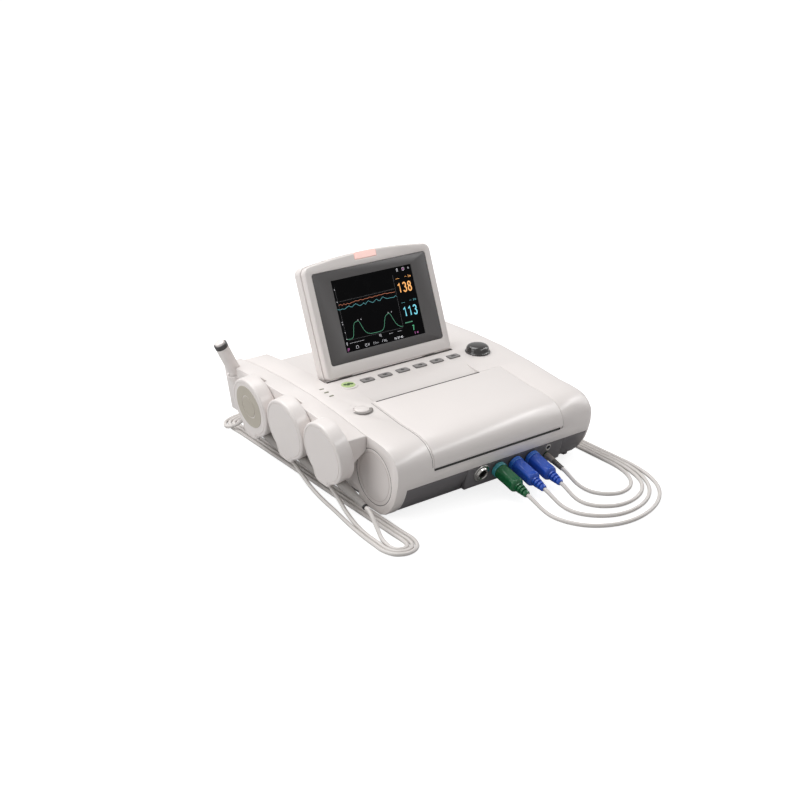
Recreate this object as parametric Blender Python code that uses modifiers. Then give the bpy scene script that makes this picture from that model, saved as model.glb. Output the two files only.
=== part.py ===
"""Table-top cardiotocograph with a fold-back screen, a chart recorder, a transducer rack and cords.

Metres, +Z up, front towards -Y. Places are measured from the body's left end (X), from the
front datum just behind the nose (Y) and from the table (Z). The empty named unit_origin
carries everything and brings the middle of the device's base to the world origin.
"""
import math

import bmesh
import bpy
from mathutils import Matrix, Vector

# Clearances and cutter overruns
GAP = 0.0003
OVERRUN = 0.03
MERGE = 0.00001

# Body
BODY_WIDTH = 0.282
BODY_REAR = 0.318
BODY_WALL = 0.003
CROWN = 0.012
BASE = 0.0026
NOSE_DEPTH = 0.0572
NOSE_OVERHANG = 0.0124
NOSE_HEIGHT = 0.086
NOSE_Y_SHARES = (0.56, 0.41, 0.26, 0.145, 0.072, 0.012, 0.0, 0.025, 0.117, 0.257, 0.444, 0.706, 1.0)
NOSE_Z_SHARES = (0.03, 0.068, 0.162, 0.279, 0.403, 0.555, 0.681, 0.777, 0.865, 0.935, 0.973, 0.993, 1.0)
TOP_RISE = 0.0118
TOP_RISE_SHARES = (0.58, 0.92, 1.0, 0.85, 0.55)
TOP_DEPTH_SHARES = (0.2, 0.39, 0.57, 0.79, 0.93)
REAR_EDGE = 0.012

# Bottom case, the dark front wall under the nose, and what stands on its floor
PANEL_LEFT = 0.0140
PANEL_RIGHT_MARGIN = 0.0085
PANEL_HEIGHT = 0.0385
PANEL_INSET = 0.0004
PANEL_WINDOW_DEPTH = 0.0120
BASE_WINDOW_TOP = 0.0120
TRAY_WALL = 0.0025
TRAY_FLOOR = 0.0030
SIDE_RAISE = 0.0140
SIDE_RAISE_START = 0.060
BOSS_RADIUS = 0.0042
BOSS_HEIGHT = 0.0125
POST_INSET_X = 0.0225
POST_FRONT = 0.074
POST_REAR_INSET = 0.027
FOOT_RADIUS = 0.0085
FOOT_INSET_X = 0.034
FOOT_FRONT = 0.042
FOOT_REAR_INSET = 0.030

# Round cap on the left end of the nose
CAP_RADIUS = 0.0315
CAP_Y = 0.0315
CAP_Z = 0.0425
CAP_THICKNESS = 0.0014
CAP_DISH = 0.0007
CAP_RIM = 0.0020

# Paper bay, its cover and the paper slit
BAY_LEFT = 0.0477
BAY_RIGHT_MARGIN = 0.0507
BAY_WIDTH = BODY_WIDTH - BAY_LEFT - BAY_RIGHT_MARGIN
BAY_REAR = 0.1003
BAY_WALL = 0.0030
SLIT_LOW = 0.0532
SLIT_HIGH = 0.0552
COVER_WALL = 0.0025
COVER_PIVOT_Y = -0.0103
COVER_PIVOT_Z = 0.0546
COVER_PIN_RADIUS = 0.0010
COVER_PIN_LENGTH = 0.0025
COVER_PIN_ROOT = 0.0040
SCOOP_DEPTH = 0.0055
SCOOP_LENGTH = 0.0250
SCOOP_INSET = 0.0033
SCOOP_RIGHT_INSET = 0.0303
SCOOP_LEFT = BAY_LEFT + SCOOP_INSET
SCOOP_WIDTH = BAY_WIDTH - SCOOP_INSET - SCOOP_RIGHT_INSET
SCOOP_WALL = 0.0025

# Recorder parts
TRAY_PLATE = 0.0020
TRAY_HEIGHT = 0.0200
TRAY_FRONT = 0.0180
PAPER_MARGIN = 0.0020
PAPER_HEIGHT = 0.0220
PLATEN_Y = 0.0062
PLATEN_Z = 0.0480
PLATEN_RADIUS = 0.0060
PLATEN_SHAFT_RADIUS = 0.0020
PLATEN_SHAFT_CLEARANCE = 0.0003
GEAR_MODULE = 0.00075
PLATEN_TEETH = 24
PINION_TEETH = 12
GEAR_BACKLASH = 0.0006
GEAR_WIDTH = 0.0040
GEAR_OFFSET = 0.0020
PINION_ANGLE = math.radians(-45)
MOTOR_RADIUS = 0.0105
MOTOR_LENGTH = 0.0200
CRADLE_WIDTH = 0.0060
HEAD_FORE = 0.0030
HEAD_DEPTH = 0.0130
HEAD_HEIGHT = 0.0045
HEAD_MARGIN = 0.0040

# Screen recess and hinge
RECESS_LEFT = 0.0318
RECESS_RIGHT_MARGIN = 0.0672
RECESS_WIDTH = BODY_WIDTH - RECESS_LEFT - RECESS_RIGHT_MARGIN
RECESS_FRONT = 0.1670
RECESS_DEPTH = 0.0140
RECESS_FLOOR = NOSE_HEIGHT - RECESS_DEPTH
RECESS_WALL = 0.0028
SCREEN_LEAN = math.radians(-21.5)
SCREEN_X = RECESS_LEFT + RECESS_WIDTH / 2
PIVOT_Y = 0.1736
PIVOT_RISE = 0.0140
PIVOT_Z = RECESS_FLOOR + PIVOT_RISE
PIVOT_BACK = 0.0110
PIVOT_DROP = 0.0778
HINGE_INSET = 0.029
HINGE_ARM_WIDTH = 0.0140
HINGE_BARREL = 0.0046
HINGE_PIN_RADIUS = 0.0020
HINGE_PIN_CLEARANCE = 0.0002
HINGE_CHEEK = 0.0030
HINGE_STRIP = 0.0016

# Screen
SCREEN_SIDE_GAP = 0.0025
SCREEN_WIDTH = RECESS_WIDTH - SCREEN_SIDE_GAP * 2
HINGE_SPREAD = SCREEN_WIDTH / 2 - HINGE_INSET
SCREEN_LOW = 0.0675
SCREEN_CORNER_TOP = 0.0632
SCREEN_ARCH = 0.0052
SCREEN_TOP_RADIUS = 0.0090
SCREEN_LOW_RADIUS = 0.0035
SCREEN_FRONT_DEPTH = 0.0090
SCREEN_DEPTH = 0.0220
SCREEN_WALL = 0.0026
SCREEN_DRAFT = 0.0010
BEZEL_SIDE = 0.00865
BEZEL_BORDER = 0.0120
BEZEL_WIDTH = SCREEN_WIDTH - BEZEL_SIDE * 2
BEZEL_HEIGHT = SCREEN_LOW + SCREEN_CORNER_TOP - BEZEL_BORDER * 2
BEZEL_RISE = 0.0004
BEZEL_THICKNESS = 0.0020
BEZEL_RECESS = 0.0006
LCD_SIDE = 0.02385
LCD_BORDER = 0.01155
LCD_WIDTH = BEZEL_WIDTH - LCD_SIDE * 2
LCD_HEIGHT = BEZEL_HEIGHT - LCD_BORDER * 2
LCD_RECESS = 0.0012
LCD_FRAME_SIDE = 0.0135
LCD_FRAME_BORDER = 0.0072
LCD_FRAME_WIDTH = LCD_WIDTH + LCD_FRAME_SIDE * 2
LCD_FRAME_HEIGHT = LCD_HEIGHT + LCD_FRAME_BORDER * 2
LCD_FRAME_DEPTH = 0.0060
LAMP_X = -0.0030
LAMP_WIDTH = 0.0290
LAMP_HEIGHT = 0.0075

# Keys, lights, latch and knob
KEY_Y = 0.150
KEY_FIRST_X = 0.0756
KEY_LAST_MARGIN = 0.0809
KEY_COUNT = 6
KEY_PITCH = (BODY_WIDTH - KEY_FIRST_X - KEY_LAST_MARGIN) / (KEY_COUNT - 1)
KEY_SPACE = 0.0096
KEY_WIDTH = KEY_PITCH - KEY_SPACE
KEY_DEPTH = 0.0088
KEY_HEIGHT = 0.0056
KEY_PROUD = 0.0009
KEY_BEVEL = 0.0016
KEY_TRAVEL = 0.0012
START_KEY_X = 0.0493
START_KEY_RADIUS = 0.0080
BOARD_STEP = 0.0003
KEY_BOARD_LEFT = 0.0385
KEY_BOARD_MARGIN = 0.0380
KEY_BOARD_RIGHT = BODY_WIDTH - KEY_BOARD_MARGIN
KEY_BOARD_DEPTH = 0.0140
KEY_BOARD_THICKNESS = 0.0016
KEY_POST_RADIUS = 0.0025
LIGHT_X = 0.0178
LIGHT_Y = 0.1370
LIGHT_PITCH = 0.0099
LIGHT_COUNT = 3
LIGHT_LENGTH = 0.0050
LIGHT_WIDTH = 0.0015
LIGHT_PIPE = 0.0018
LATCH_X = 0.0280
LATCH_Y = 0.0930
LATCH_RADIUS = 0.0085
LATCH_HEIGHT = 0.0075
LATCH_PROUD = 0.0016
KNOB_MARGIN = 0.0463
KNOB_X = BODY_WIDTH - KNOB_MARGIN
KNOB_Y = 0.1463
KNOB_RADIUS = 0.0155
KNOB_HEIGHT = 0.0140
KNOB_LIFT = 0.0012
KNOB_SHAFT_RADIUS = 0.0030
KNOB_SHAFT_LENGTH = 0.0050
ENCODER_SIZE = 0.0120
ENCODER_HEIGHT = 0.0050

# Front connectors
CONNECTOR_MARGIN = 0.0460
CONNECTOR_WIDTH = 0.1400
CONNECTOR_RIGHT = BODY_WIDTH - CONNECTOR_MARGIN
CONNECTOR_LEFT = CONNECTOR_RIGHT - CONNECTOR_WIDTH
CONNECTOR_LEAN = math.radians(14)
CONNECTOR_Y = -0.0062
CONNECTOR_Z = 0.0275
CONNECTOR_LOW = 0.0095
CONNECTOR_HIGH = 0.0380
CONNECTOR_DEPTH = 0.0090
CONNECTOR_BEVEL = 0.0030
SERVICE_INSET = 0.0215
SERVICE_X = CONNECTOR_LEFT + SERVICE_INSET
SENSOR_INSET = 0.0443
SENSOR_FIRST_X = CONNECTOR_LEFT + SENSOR_INSET
SENSOR_PITCH = 0.0243
SENSOR_COUNT = 3
SOCKET_FLANGE_RADIUS = 0.0100
SOCKET_RADIUS = 0.0070
SOCKET_PROUD = 0.0022
SOCKET_LENGTH = 0.0085
SOCKET_BORE = 0.0045
SOCKET_BORE_DEPTH = 0.0080
SENSOR_SOCKET_RADIUS = 0.0062
SENSOR_SOCKET_PROUD = 0.0010
SOCKET_BOARD = 0.0016
JACK_INSET = 0.0225
JACK_X = CONNECTOR_RIGHT - JACK_INSET
JACK_DROP = 0.0050
JACK_HOLE_INSET = 0.0220
JACK_HOLE_X = CONNECTOR_RIGHT - JACK_HOLE_INSET
JACK_HOLE_RISE = 0.0050
JACK_HOLE_RADIUS = 0.0025
JACK_HOLE_DEPTH = 0.0040
JACK_RADIUS = 0.0034
JACK_BORE = 0.0013
PLUG_RADIUS = 0.0088
PLUG_RING_RADIUS = 0.0094
PLUG_RING = 0.0050
PLUG_LENGTH = 0.0360
PLUG_NOSE = 0.0040
RELIEF_RADIUS = 0.0045
RELIEF_LENGTH = 0.0150
RELIEF_WALL = 0.0007
JACK_PLUG_RADIUS = 0.0036
JACK_PLUG_LENGTH = 0.0130
JACK_RELIEF_LENGTH = 0.0150

# Transducer rack
RACK_FRONT = 0.0440
RACK_REAR_MARGIN = 0.0130
RACK_REAR = BODY_REAR - RACK_REAR_MARGIN
RACK_LOW = 0.0320
RACK_CAVITY_DROP = 0.0320
RACK_CAVITY_TOP = NOSE_HEIGHT - RACK_CAVITY_DROP
RACK_WALL = 0.0030
SENSOR_TILT = math.radians(-7.4)
SENSOR_DROP = 0.0182
SENSOR_Z = NOSE_HEIGHT - SENSOR_DROP
SENSOR_BACK_X = -0.0220
SENSOR_FIRST_Y = 0.0710
SENSOR_SPACING = 0.0755
SENSOR_RADIUS = 0.0358
SENSOR_THICKNESS = 0.0180
SENSOR_EDGE = 0.0030
CHIN_Y_SHARES = (-0.62, -0.497, -0.23, 0.11, 0.39)
CHIN_Z_SHARES = (-0.751, -1.092, -1.173, -1.061, -0.9)
EXIT_Y = -0.0200
EXIT_Z = -0.0330
EXIT_SLOPE = math.radians(15)
SENSOR_RELIEF_LENGTH = 0.0420
SENSOR_RELIEF_WIDE = 0.0055
SENSOR_RELIEF_NARROW = 0.0033
MEMBRANE_RADIUS = 0.0245
MEMBRANE_THICKNESS = 0.0012
BUTTON_NECK_RADIUS = 0.0040
BUTTON_NECK_LENGTH = 0.0034
BUTTON_HEAD_RADIUS = 0.0075
BUTTON_HEAD_THICKNESS = 0.0028
SLOT_CLEARANCE = 0.0004
SLOT_DROP = 0.0090

# Event marker and its holder
MARKER_REAR_MARGIN = 0.0340
MARKER_Y = BODY_REAR - MARKER_REAR_MARGIN
MARKER_X = -0.0092
MARKER_DROP = 0.0260
MARKER_Z = NOSE_HEIGHT - MARKER_DROP
MARKER_LEAN = math.radians(-24.6)
MARKER_RADIUS = 0.0078
MARKER_LENGTH = 0.0740
MARKER_RELIEF_LENGTH = 0.0080
MARKER_RELIEF_RADIUS = 0.0032
MARKER_BAND = 0.0050
MARKER_BUTTON_RADIUS = 0.0062
MARKER_BUTTON_PROUD = 0.0040
MARKER_BUTTON_DEPTH = 0.0060
HOLDER_RADIUS = 0.0108
HOLDER_LENGTH = 0.0320
HOLDER_LEDGE = 0.0030
HOLDER_CLEARANCE = 0.0004
CABLE_EXIT_WIDTH = 0.0130
CABLE_EXIT_DEPTH = 0.0200

# Electronics inside the tray
BOARD_LEFT = 0.0400
BOARD_MARGIN = 0.0380
BOARD_RIGHT = BODY_WIDTH - BOARD_MARGIN
BOARD_FRONT = 0.1080
BOARD_REAR_MARGIN = 0.0180
BOARD_REAR = BODY_REAR - BOARD_REAR_MARGIN
BOARD_THICKNESS = 0.0016
STANDOFF = 0.0060
SPEAKER_RADIUS = 0.0240
SPEAKER_HEIGHT = 0.0110
SPEAKER_MARGIN = 0.1420
SPEAKER_X = BODY_WIDTH - SPEAKER_MARGIN
SPEAKER_Y = 0.0600
INLET_MARGIN = 0.0320
INLET_X = BODY_WIDTH - INLET_MARGIN
INLET_Z = 0.0300
INLET_RADIUS = 0.0070
INLET_BORE = 0.0027
INLET_PIN = 0.0010
INLET_DEPTH = 0.0140
INLET_SOCKET_DEPTH = 0.0100

# Cords
CORD_DIAMETER = 0.0045
CORD_STEP = 0.0030
CORD_TOLERANCE = 0.0004
COIL_MID_RADIUS = 0.0242
COIL_PITCH = 0.0052
COIL_STEPS = 12
COIL_TURNS = {"marker": 10, "us_1": 8, "us_2": 7, "toco": 6}
COIL_ENDS = {
    "marker": (0.0860, 0.3392, -90), "us_1": (0.1660, 0.3392, -90), "us_2": (0.2420, 0.3392, -90),
    "toco": (0.3100, 0.2500, 180),
}
FLOOR_LEVEL = 0.0024

LOOKS = {
    "shell": ((0.72, 0.70, 0.68), 0.35, 0.0),
    "shade": ((0.60, 0.58, 0.56), 0.40, 0.0),
    "dark": ((0.07, 0.07, 0.075), 0.30, 0.0),
    "bezel": ((0.10, 0.095, 0.095), 0.35, 0.0),
    "key": ((0.20, 0.195, 0.19), 0.45, 0.0),
    "green": ((0.50, 0.68, 0.26), 0.40, 0.0),
    "glow": ((0.90, 0.62, 0.58), 0.30, 0.0),
    "black": ((0.01, 0.01, 0.012), 0.20, 0.0),
    "metal": ((0.60, 0.58, 0.56), 0.25, 1.0),
    "blue": ((0.02, 0.06, 0.50), 0.35, 0.0),
    "plug_green": ((0.01, 0.10, 0.03), 0.35, 0.0),
    "grey": ((0.35, 0.34, 0.33), 0.40, 0.0),
    "beige": ((0.52, 0.47, 0.40), 0.55, 0.0),
    "paper": ((0.85, 0.84, 0.80), 0.80, 0.0),
    "board": ((0.03, 0.20, 0.08), 0.50, 0.0),
    "cord": ((0.60, 0.58, 0.56), 0.45, 0.0),
}

# Axes of local shapes: a side outline is drawn in (Y, Z) and a front outline in (X, Z)
FROM_SIDE = Matrix(((0, 0, 1, 0), (1, 0, 0, 0), (0, 1, 0, 0), (0, 0, 0, 1)))
FROM_FRONT = Matrix.Rotation(math.pi / 2, 4, "X")
TOWARDS_FRONT = Vector((0, -1, 0))


# Scene and object helpers

def clear_scene():
    for obj in list(bpy.data.objects):
        bpy.data.objects.remove(obj, do_unlink=True)
    for name in ("cardiotocograph", "cutters"):
        old = bpy.data.collections.get(name)
        if old:
            bpy.data.collections.remove(old)


def new_collection(name):
    collection = bpy.data.collections.new(name)
    bpy.context.scene.collection.children.link(collection)
    return collection


def new_empty(name, location, rotation=(0, 0, 0), parent=None):
    empty = bpy.data.objects.new(name, None)
    empty.location = location
    empty.rotation_euler = rotation
    empty.parent = parent
    PIECES.objects.link(empty)
    return empty


def add_piece(name, data, look, parent, location=(0, 0, 0), rotation=(0, 0, 0)):
    """A visible sub-part with a material of its own."""
    colour, roughness, metallic = LOOKS[look]
    material = bpy.data.materials.new(name + "_finish")
    material.use_nodes = True
    shader = material.node_tree.nodes["Principled BSDF"]
    shader.inputs["Base Color"].default_value = (*colour, 1)
    shader.inputs["Roughness"].default_value = roughness
    shader.inputs["Metallic"].default_value = metallic
    material.diffuse_color = (*colour, 1)
    data.materials.append(material)
    obj = bpy.data.objects.new(name, data)
    obj.location = location
    obj.rotation_euler = rotation
    obj.parent = parent
    PIECES.objects.link(obj)
    return obj


def add_tool(name, mesh, parent, location=(0, 0, 0), rotation=(0, 0, 0)):
    """A hidden shape that cuts or joins another."""
    obj = bpy.data.objects.new(name, mesh)
    obj.location = location
    obj.rotation_euler = rotation
    obj.parent = parent
    obj.display_type = "WIRE"
    obj.hide_render = True
    TOOLS.objects.link(obj)
    return obj


def combine(target, tool, operation):
    modifier = target.modifiers.new(operation.lower() + "_" + tool.name, "BOOLEAN")
    modifier.operation = operation
    modifier.solver = "EXACT"
    modifier.object = tool


def cut(target, *tools):
    for tool in tools:
        combine(target, tool, "DIFFERENCE")


def join(target, *tools):
    for tool in tools:
        combine(target, tool, "UNION")


def overlap(target, tool):
    combine(target, tool, "INTERSECT")


# Mesh helpers

def finish_mesh(name, bm):
    mesh = bpy.data.meshes.new(name)
    bmesh.ops.recalc_face_normals(bm, faces=bm.faces)
    bm.to_mesh(mesh)
    bm.free()
    return mesh


def box(low, high, bevel=0.0, segments=2):
    """Box between two corners, with its edges rounded where a bevel is given."""
    low, high = Vector(low), Vector(high)
    bm = bmesh.new()
    bmesh.ops.create_cube(bm, size=1)
    bmesh.ops.scale(bm, vec=high - low, verts=bm.verts)
    bmesh.ops.translate(bm, vec=(low + high) / 2, verts=bm.verts)
    if bevel:
        bmesh.ops.bevel(bm, geom=bm.edges, offset=bevel, segments=segments, profile=0.5, affect="EDGES")
    return finish_mesh("box", bm)


def turning(direction):
    """Rotation that brings +Z to a direction."""
    return Vector(direction).to_track_quat("Z", "Y").to_matrix().to_4x4()


def cylinder(start, direction, length, radius, end_radius=None, segments=32):
    """Round bar or cone from a start point along a direction."""
    bm = bmesh.new()
    tip = radius if end_radius is None else end_radius
    bmesh.ops.create_cone(
        bm, cap_ends=True, segments=segments, radius1=radius, radius2=tip, depth=length
    )
    bmesh.ops.translate(bm, vec=(0, 0, length / 2), verts=bm.verts)
    bmesh.ops.transform(bm, matrix=Matrix.Translation(start) @ turning(direction), verts=bm.verts)
    mesh = finish_mesh("cylinder", bm)
    mesh.shade_smooth()
    mesh.set_sharp_from_angle(angle=math.radians(40))
    return mesh


def plate(outline, near, far, axes):
    """Flat outline filled and thickened from near to far along the third axis."""
    curve = bpy.data.curves.new("outline", "CURVE")
    curve.dimensions = "2D"
    curve.fill_mode = "BOTH"
    curve.extrude = (far - near) / 2
    spline = curve.splines.new("POLY")
    spline.points.add(len(outline) - 1)
    for point, (u, v) in zip(spline.points, outline):
        point.co = (u, v, 0, 1)
    spline.use_cyclic_u = True
    guide = bpy.data.objects.new("outline", curve)
    TOOLS.objects.link(guide)
    depsgraph = bpy.context.evaluated_depsgraph_get()
    mesh = bpy.data.meshes.new_from_object(guide.evaluated_get(depsgraph))
    bpy.data.objects.remove(guide)
    bm = bmesh.new()
    bm.from_mesh(mesh)
    bpy.data.meshes.remove(mesh)
    bmesh.ops.remove_doubles(bm, verts=bm.verts, dist=MERGE)
    bmesh.ops.dissolve_limit(bm, angle_limit=math.radians(1), verts=bm.verts, edges=bm.edges)
    bmesh.ops.translate(bm, vec=(0, 0, (near + far) / 2), verts=bm.verts)
    bmesh.ops.transform(bm, matrix=axes, verts=bm.verts)
    return finish_mesh("plate", bm)


def turned_profile(profile):
    """Edge profile of radius and height, for a Screw modifier."""
    bm = bmesh.new()
    verts = [bm.verts.new((radius, 0, height)) for radius, height in profile]
    for first, second in zip(verts, verts[1:]):
        bm.edges.new((first, second))
    mesh = bpy.data.meshes.new("profile")
    bm.to_mesh(mesh)
    bm.free()
    return mesh


def turn(obj, steps=32):
    """Spins an object's profile about its own Z axis."""
    screw = obj.modifiers.new("turned", "SCREW")
    screw.axis = "Z"
    screw.steps = steps
    screw.render_steps = steps
    screw.use_merge_vertices = True
    screw.merge_threshold = MERGE
    return obj


def arc(centre, radius, start, end, steps):
    """Points on an arc between two angles, in degrees."""
    points = []
    for i in range(steps + 1):
        angle = math.radians(start + (end - start) * i / steps)
        points.append((centre[0] + radius * math.cos(angle), centre[1] + radius * math.sin(angle)))
    return points


def inset_outline(points, distance):
    """Closed outline, drawn counter-clockwise, moved inwards by a distance."""
    moved = []
    count = len(points)
    for i, point in enumerate(points):
        before, after = Vector(points[i - 1]), Vector(points[(i + 1) % count])
        here = Vector(point)
        into = (here - before).normalized()
        out = (after - here).normalized()
        normal_in = Vector((-into.y, into.x))
        normal_out = Vector((-out.y, out.x))
        middle = (normal_in + normal_out).normalized()
        moved.append(tuple(here + middle * (distance / middle.dot(normal_in))))
    return moved


# Body outline

def body_side():
    """Side outline of the body, counter-clockwise in (Y, Z), from the front of its base."""
    points = [(BODY_REAR - REAR_EDGE, BASE)]
    points += [(BODY_REAR, BASE + REAR_EDGE)]
    points += [(BODY_REAR, NOSE_HEIGHT - REAR_EDGE)]
    top_start = NOSE_DEPTH - NOSE_OVERHANG
    top_length = BODY_REAR - top_start
    top = []
    for depth_share, rise_share in zip(TOP_DEPTH_SHARES, TOP_RISE_SHARES):
        top.append((top_start + top_length * depth_share, NOSE_HEIGHT + TOP_RISE * rise_share))
    points += reversed(top)
    nose = []
    for y_share, z_share in zip(NOSE_Y_SHARES, NOSE_Z_SHARES):
        nose.append((NOSE_DEPTH * y_share - NOSE_OVERHANG, NOSE_HEIGHT * z_share))
    nose[0] = (nose[0][0], BASE)
    points += reversed(nose)
    return points


def top_at(y):
    """Height of the body's top surface at a depth."""
    points = sorted(point for point in body_side() if point[1] >= NOSE_HEIGHT * NOSE_Z_SHARES[-4])
    for (y0, z0), (y1, z1) in zip(points, points[1:]):
        if y0 <= y <= y1:
            return z0 + (z1 - z0) * (y - y0) / (y1 - y0)
    return points[-1][1]


def body_block(inset, left, right):
    """Body shape between two X values, set in all round, with its right end crowned."""
    outline = inset_outline(body_side(), inset)
    mesh = plate(outline, left, right, FROM_SIDE)
    bm = bmesh.new()
    bm.from_mesh(mesh)
    bm.verts.ensure_lookup_table()
    rim = [
        edge for edge in bm.edges
        if all(abs(vert.co.x - right) < MERGE for vert in edge.verts)
    ]
    bmesh.ops.bevel(bm, geom=rim, offset=CROWN - inset, segments=2, profile=0.5, affect="EDGES")
    return finish_mesh("body_block", bm)


# Body shells

def bay_right():
    return BAY_LEFT + BAY_WIDTH


def recess_right():
    return RECESS_LEFT + RECESS_WIDTH


def post_places():
    return [
        (x, y)
        for x in (POST_INSET_X, BODY_WIDTH - POST_INSET_X)
        for y in (POST_FRONT, BODY_REAR - POST_REAR_INSET)
    ]


def key_places():
    return [KEY_FIRST_X + KEY_PITCH * i for i in range(KEY_COUNT)]


def scoop_outline(grow):
    """Finger scoop behind the cover, as a wedge in (Y, Z)."""
    front, rear = BAY_REAR, BAY_REAR + SCOOP_LENGTH
    high = NOSE_HEIGHT + TOP_RISE + OVERRUN
    low = top_at(front) - SCOOP_DEPTH
    return [(front, low - grow), (rear + grow, top_at(rear) - grow), (rear + grow, high), (front, high)]


def make_cavity():
    """Inside of the top case: what is left out of it is wall."""
    mesh = body_block(BODY_WALL, BODY_WALL, BODY_WIDTH - BODY_WALL)
    cavity = add_tool("cavity", mesh, UNIT)
    high = NOSE_HEIGHT + TOP_RISE
    recess = box(
        (RECESS_LEFT - RECESS_WALL, RECESS_FRONT - RECESS_WALL, RECESS_FLOOR - RECESS_WALL),
        (recess_right() + RECESS_WALL, BODY_REAR + OVERRUN, high + OVERRUN),
    )
    cut(cavity, add_tool("recess_walls", recess, UNIT))
    scoop = plate(
        scoop_outline(SCOOP_WALL), SCOOP_LEFT - SCOOP_WALL, SCOOP_LEFT + SCOOP_WIDTH + SCOOP_WALL,
        FROM_SIDE,
    )
    cut(cavity, add_tool("scoop_walls", scoop, UNIT))
    for name, left in (("bay_wall_left", BAY_LEFT - BAY_WALL), ("bay_wall_right", bay_right())):
        wall = box((left, -OVERRUN, TRAY_HEIGHT - TRAY_PLATE), (left + BAY_WALL, BAY_REAR + BAY_WALL, high))
        cut(cavity, add_tool(name, wall, UNIT))
    rear_wall = box(
        (BAY_LEFT - BAY_WALL, BAY_REAR, TRAY_HEIGHT - TRAY_PLATE), (bay_right() + BAY_WALL, BAY_REAR + BAY_WALL, high)
    )
    cut(cavity, add_tool("bay_wall_rear", rear_wall, UNIT))
    for i, (x, y) in enumerate(post_places()):
        post_low = BASE + TRAY_FLOOR + BOSS_HEIGHT + GAP
        post = cylinder((x, y, post_low), (0, 0, 1), high - post_low, BOSS_RADIUS, segments=16)
        cut(cavity, add_tool(f"case_post_{i + 1}", post, UNIT))
    for i, x in enumerate(key_places()[::2]):
        low = key_board_top() + GAP
        post = cylinder(
            (x + KEY_PITCH / 2, KEY_Y, low), (0, 0, 1), high - low, KEY_POST_RADIUS, segments=12
        )
        cut(cavity, add_tool(f"key_post_{i + 1}", post, UNIT))
    return cavity


def key_low():
    return top_at(KEY_Y) + KEY_PROUD - KEY_HEIGHT


def key_board_top():
    return key_low() - KEY_TRAVEL - BOARD_STEP


def make_top_case():
    case = add_piece("top_case", body_block(0, 0, BODY_WIDTH), "shell", UNIT)
    cut(case, make_cavity())
    high = NOSE_HEIGHT + TOP_RISE + OVERRUN
    panel_right = BODY_WIDTH - PANEL_RIGHT_MARGIN
    front_window = box(
        (PANEL_LEFT, -OVERRUN, -OVERRUN), (panel_right, PANEL_WINDOW_DEPTH, PANEL_HEIGHT)
    )
    base_window = box(
        (PANEL_LEFT, 0, -OVERRUN), (panel_right, BODY_REAR - REAR_EDGE, BASE_WINDOW_TOP)
    )
    side_raise = box(
        (-OVERRUN, SIDE_RAISE_START, -OVERRUN), (PANEL_LEFT, BODY_REAR + OVERRUN, SIDE_RAISE)
    )
    bay = box((BAY_LEFT, -OVERRUN, SLIT_LOW), (bay_right(), BAY_REAR, high))
    recess = box(
        (RECESS_LEFT, RECESS_FRONT, RECESS_FLOOR), (recess_right(), BODY_REAR + OVERRUN, high)
    )
    scoop = plate(scoop_outline(0), SCOOP_LEFT, SCOOP_LEFT + SCOOP_WIDTH, FROM_SIDE)
    shapes = (
        ("front_window", front_window), ("base_window", base_window), ("side_raise", side_raise),
        ("bay_window", bay), ("recess", recess), ("scoop", scoop),
    )
    for name, mesh in shapes:
        cut(case, add_tool(name, mesh, UNIT))
    cap_seat = cylinder(
        (CAP_THICKNESS + CAP_DISH + GAP, CAP_Y, CAP_Z), (-1, 0, 0), OVERRUN, CAP_RADIUS + GAP, segments=36
    )
    cut(case, add_tool("cap_seat", cap_seat, UNIT))
    bore_width = BAY_WIDTH + COVER_PIN_LENGTH * 2
    pin_bore = cylinder(
        (BAY_LEFT - COVER_PIN_LENGTH, COVER_PIVOT_Y, COVER_PIVOT_Z), (1, 0, 0), bore_width,
        COVER_PIN_RADIUS + GAP, segments=16,
    )
    cut(case, add_tool("cover_pin_bore", pin_bore, UNIT))
    platen_bore = cylinder(
        (BAY_LEFT - BAY_WALL - GAP, PLATEN_Y, PLATEN_Z), (1, 0, 0), BAY_WIDTH + (BAY_WALL + GAP) * 2,
        PLATEN_SHAFT_RADIUS + PLATEN_SHAFT_CLEARANCE, segments=16,
    )
    cut(case, add_tool("platen_bore", platen_bore, UNIT))
    cut_controls(case)
    inlet_hole = cylinder(
        (INLET_X, BODY_REAR + OVERRUN, INLET_Z), TOWARDS_FRONT, OVERRUN + INLET_DEPTH, INLET_RADIUS + GAP
    )
    cut(case, add_tool("inlet_hole", inlet_hole, UNIT))
    return case


def cut_controls(case):
    """Holes for the keys, lights, latch and knob shaft."""
    low = key_board_top() - OVERRUN
    high = NOSE_HEIGHT + TOP_RISE + OVERRUN
    for i, x in enumerate(key_places()):
        half_width, half_depth = KEY_WIDTH / 2 + GAP, KEY_DEPTH / 2 + GAP
        hole = box((x - half_width, KEY_Y - half_depth, low), (x + half_width, KEY_Y + half_depth, high))
        cut(case, add_tool(f"key_hole_{i + 1}", hole, UNIT))
    rounds = (
        ("start_key_hole", START_KEY_X, KEY_Y, START_KEY_RADIUS),
        ("latch_hole", LATCH_X, LATCH_Y, LATCH_RADIUS),
        ("knob_hole", KNOB_X, KNOB_Y, KNOB_SHAFT_RADIUS),
    )
    for name, x, y, radius in rounds:
        hole = cylinder((x, y, low), (0, 0, 1), high - low, radius + GAP, segments=24)
        cut(case, add_tool(name, hole, UNIT))
    for i in range(LIGHT_COUNT):
        y = LIGHT_Y + LIGHT_PITCH * i
        half_length, half_width = LIGHT_LENGTH / 2 + GAP, LIGHT_WIDTH / 2 + GAP
        slot = box((LIGHT_X - half_length, y - half_width, low), (LIGHT_X + half_length, y + half_width, high))
        cut(case, add_tool(f"light_slot_{i + 1}", slot, UNIT))


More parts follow.
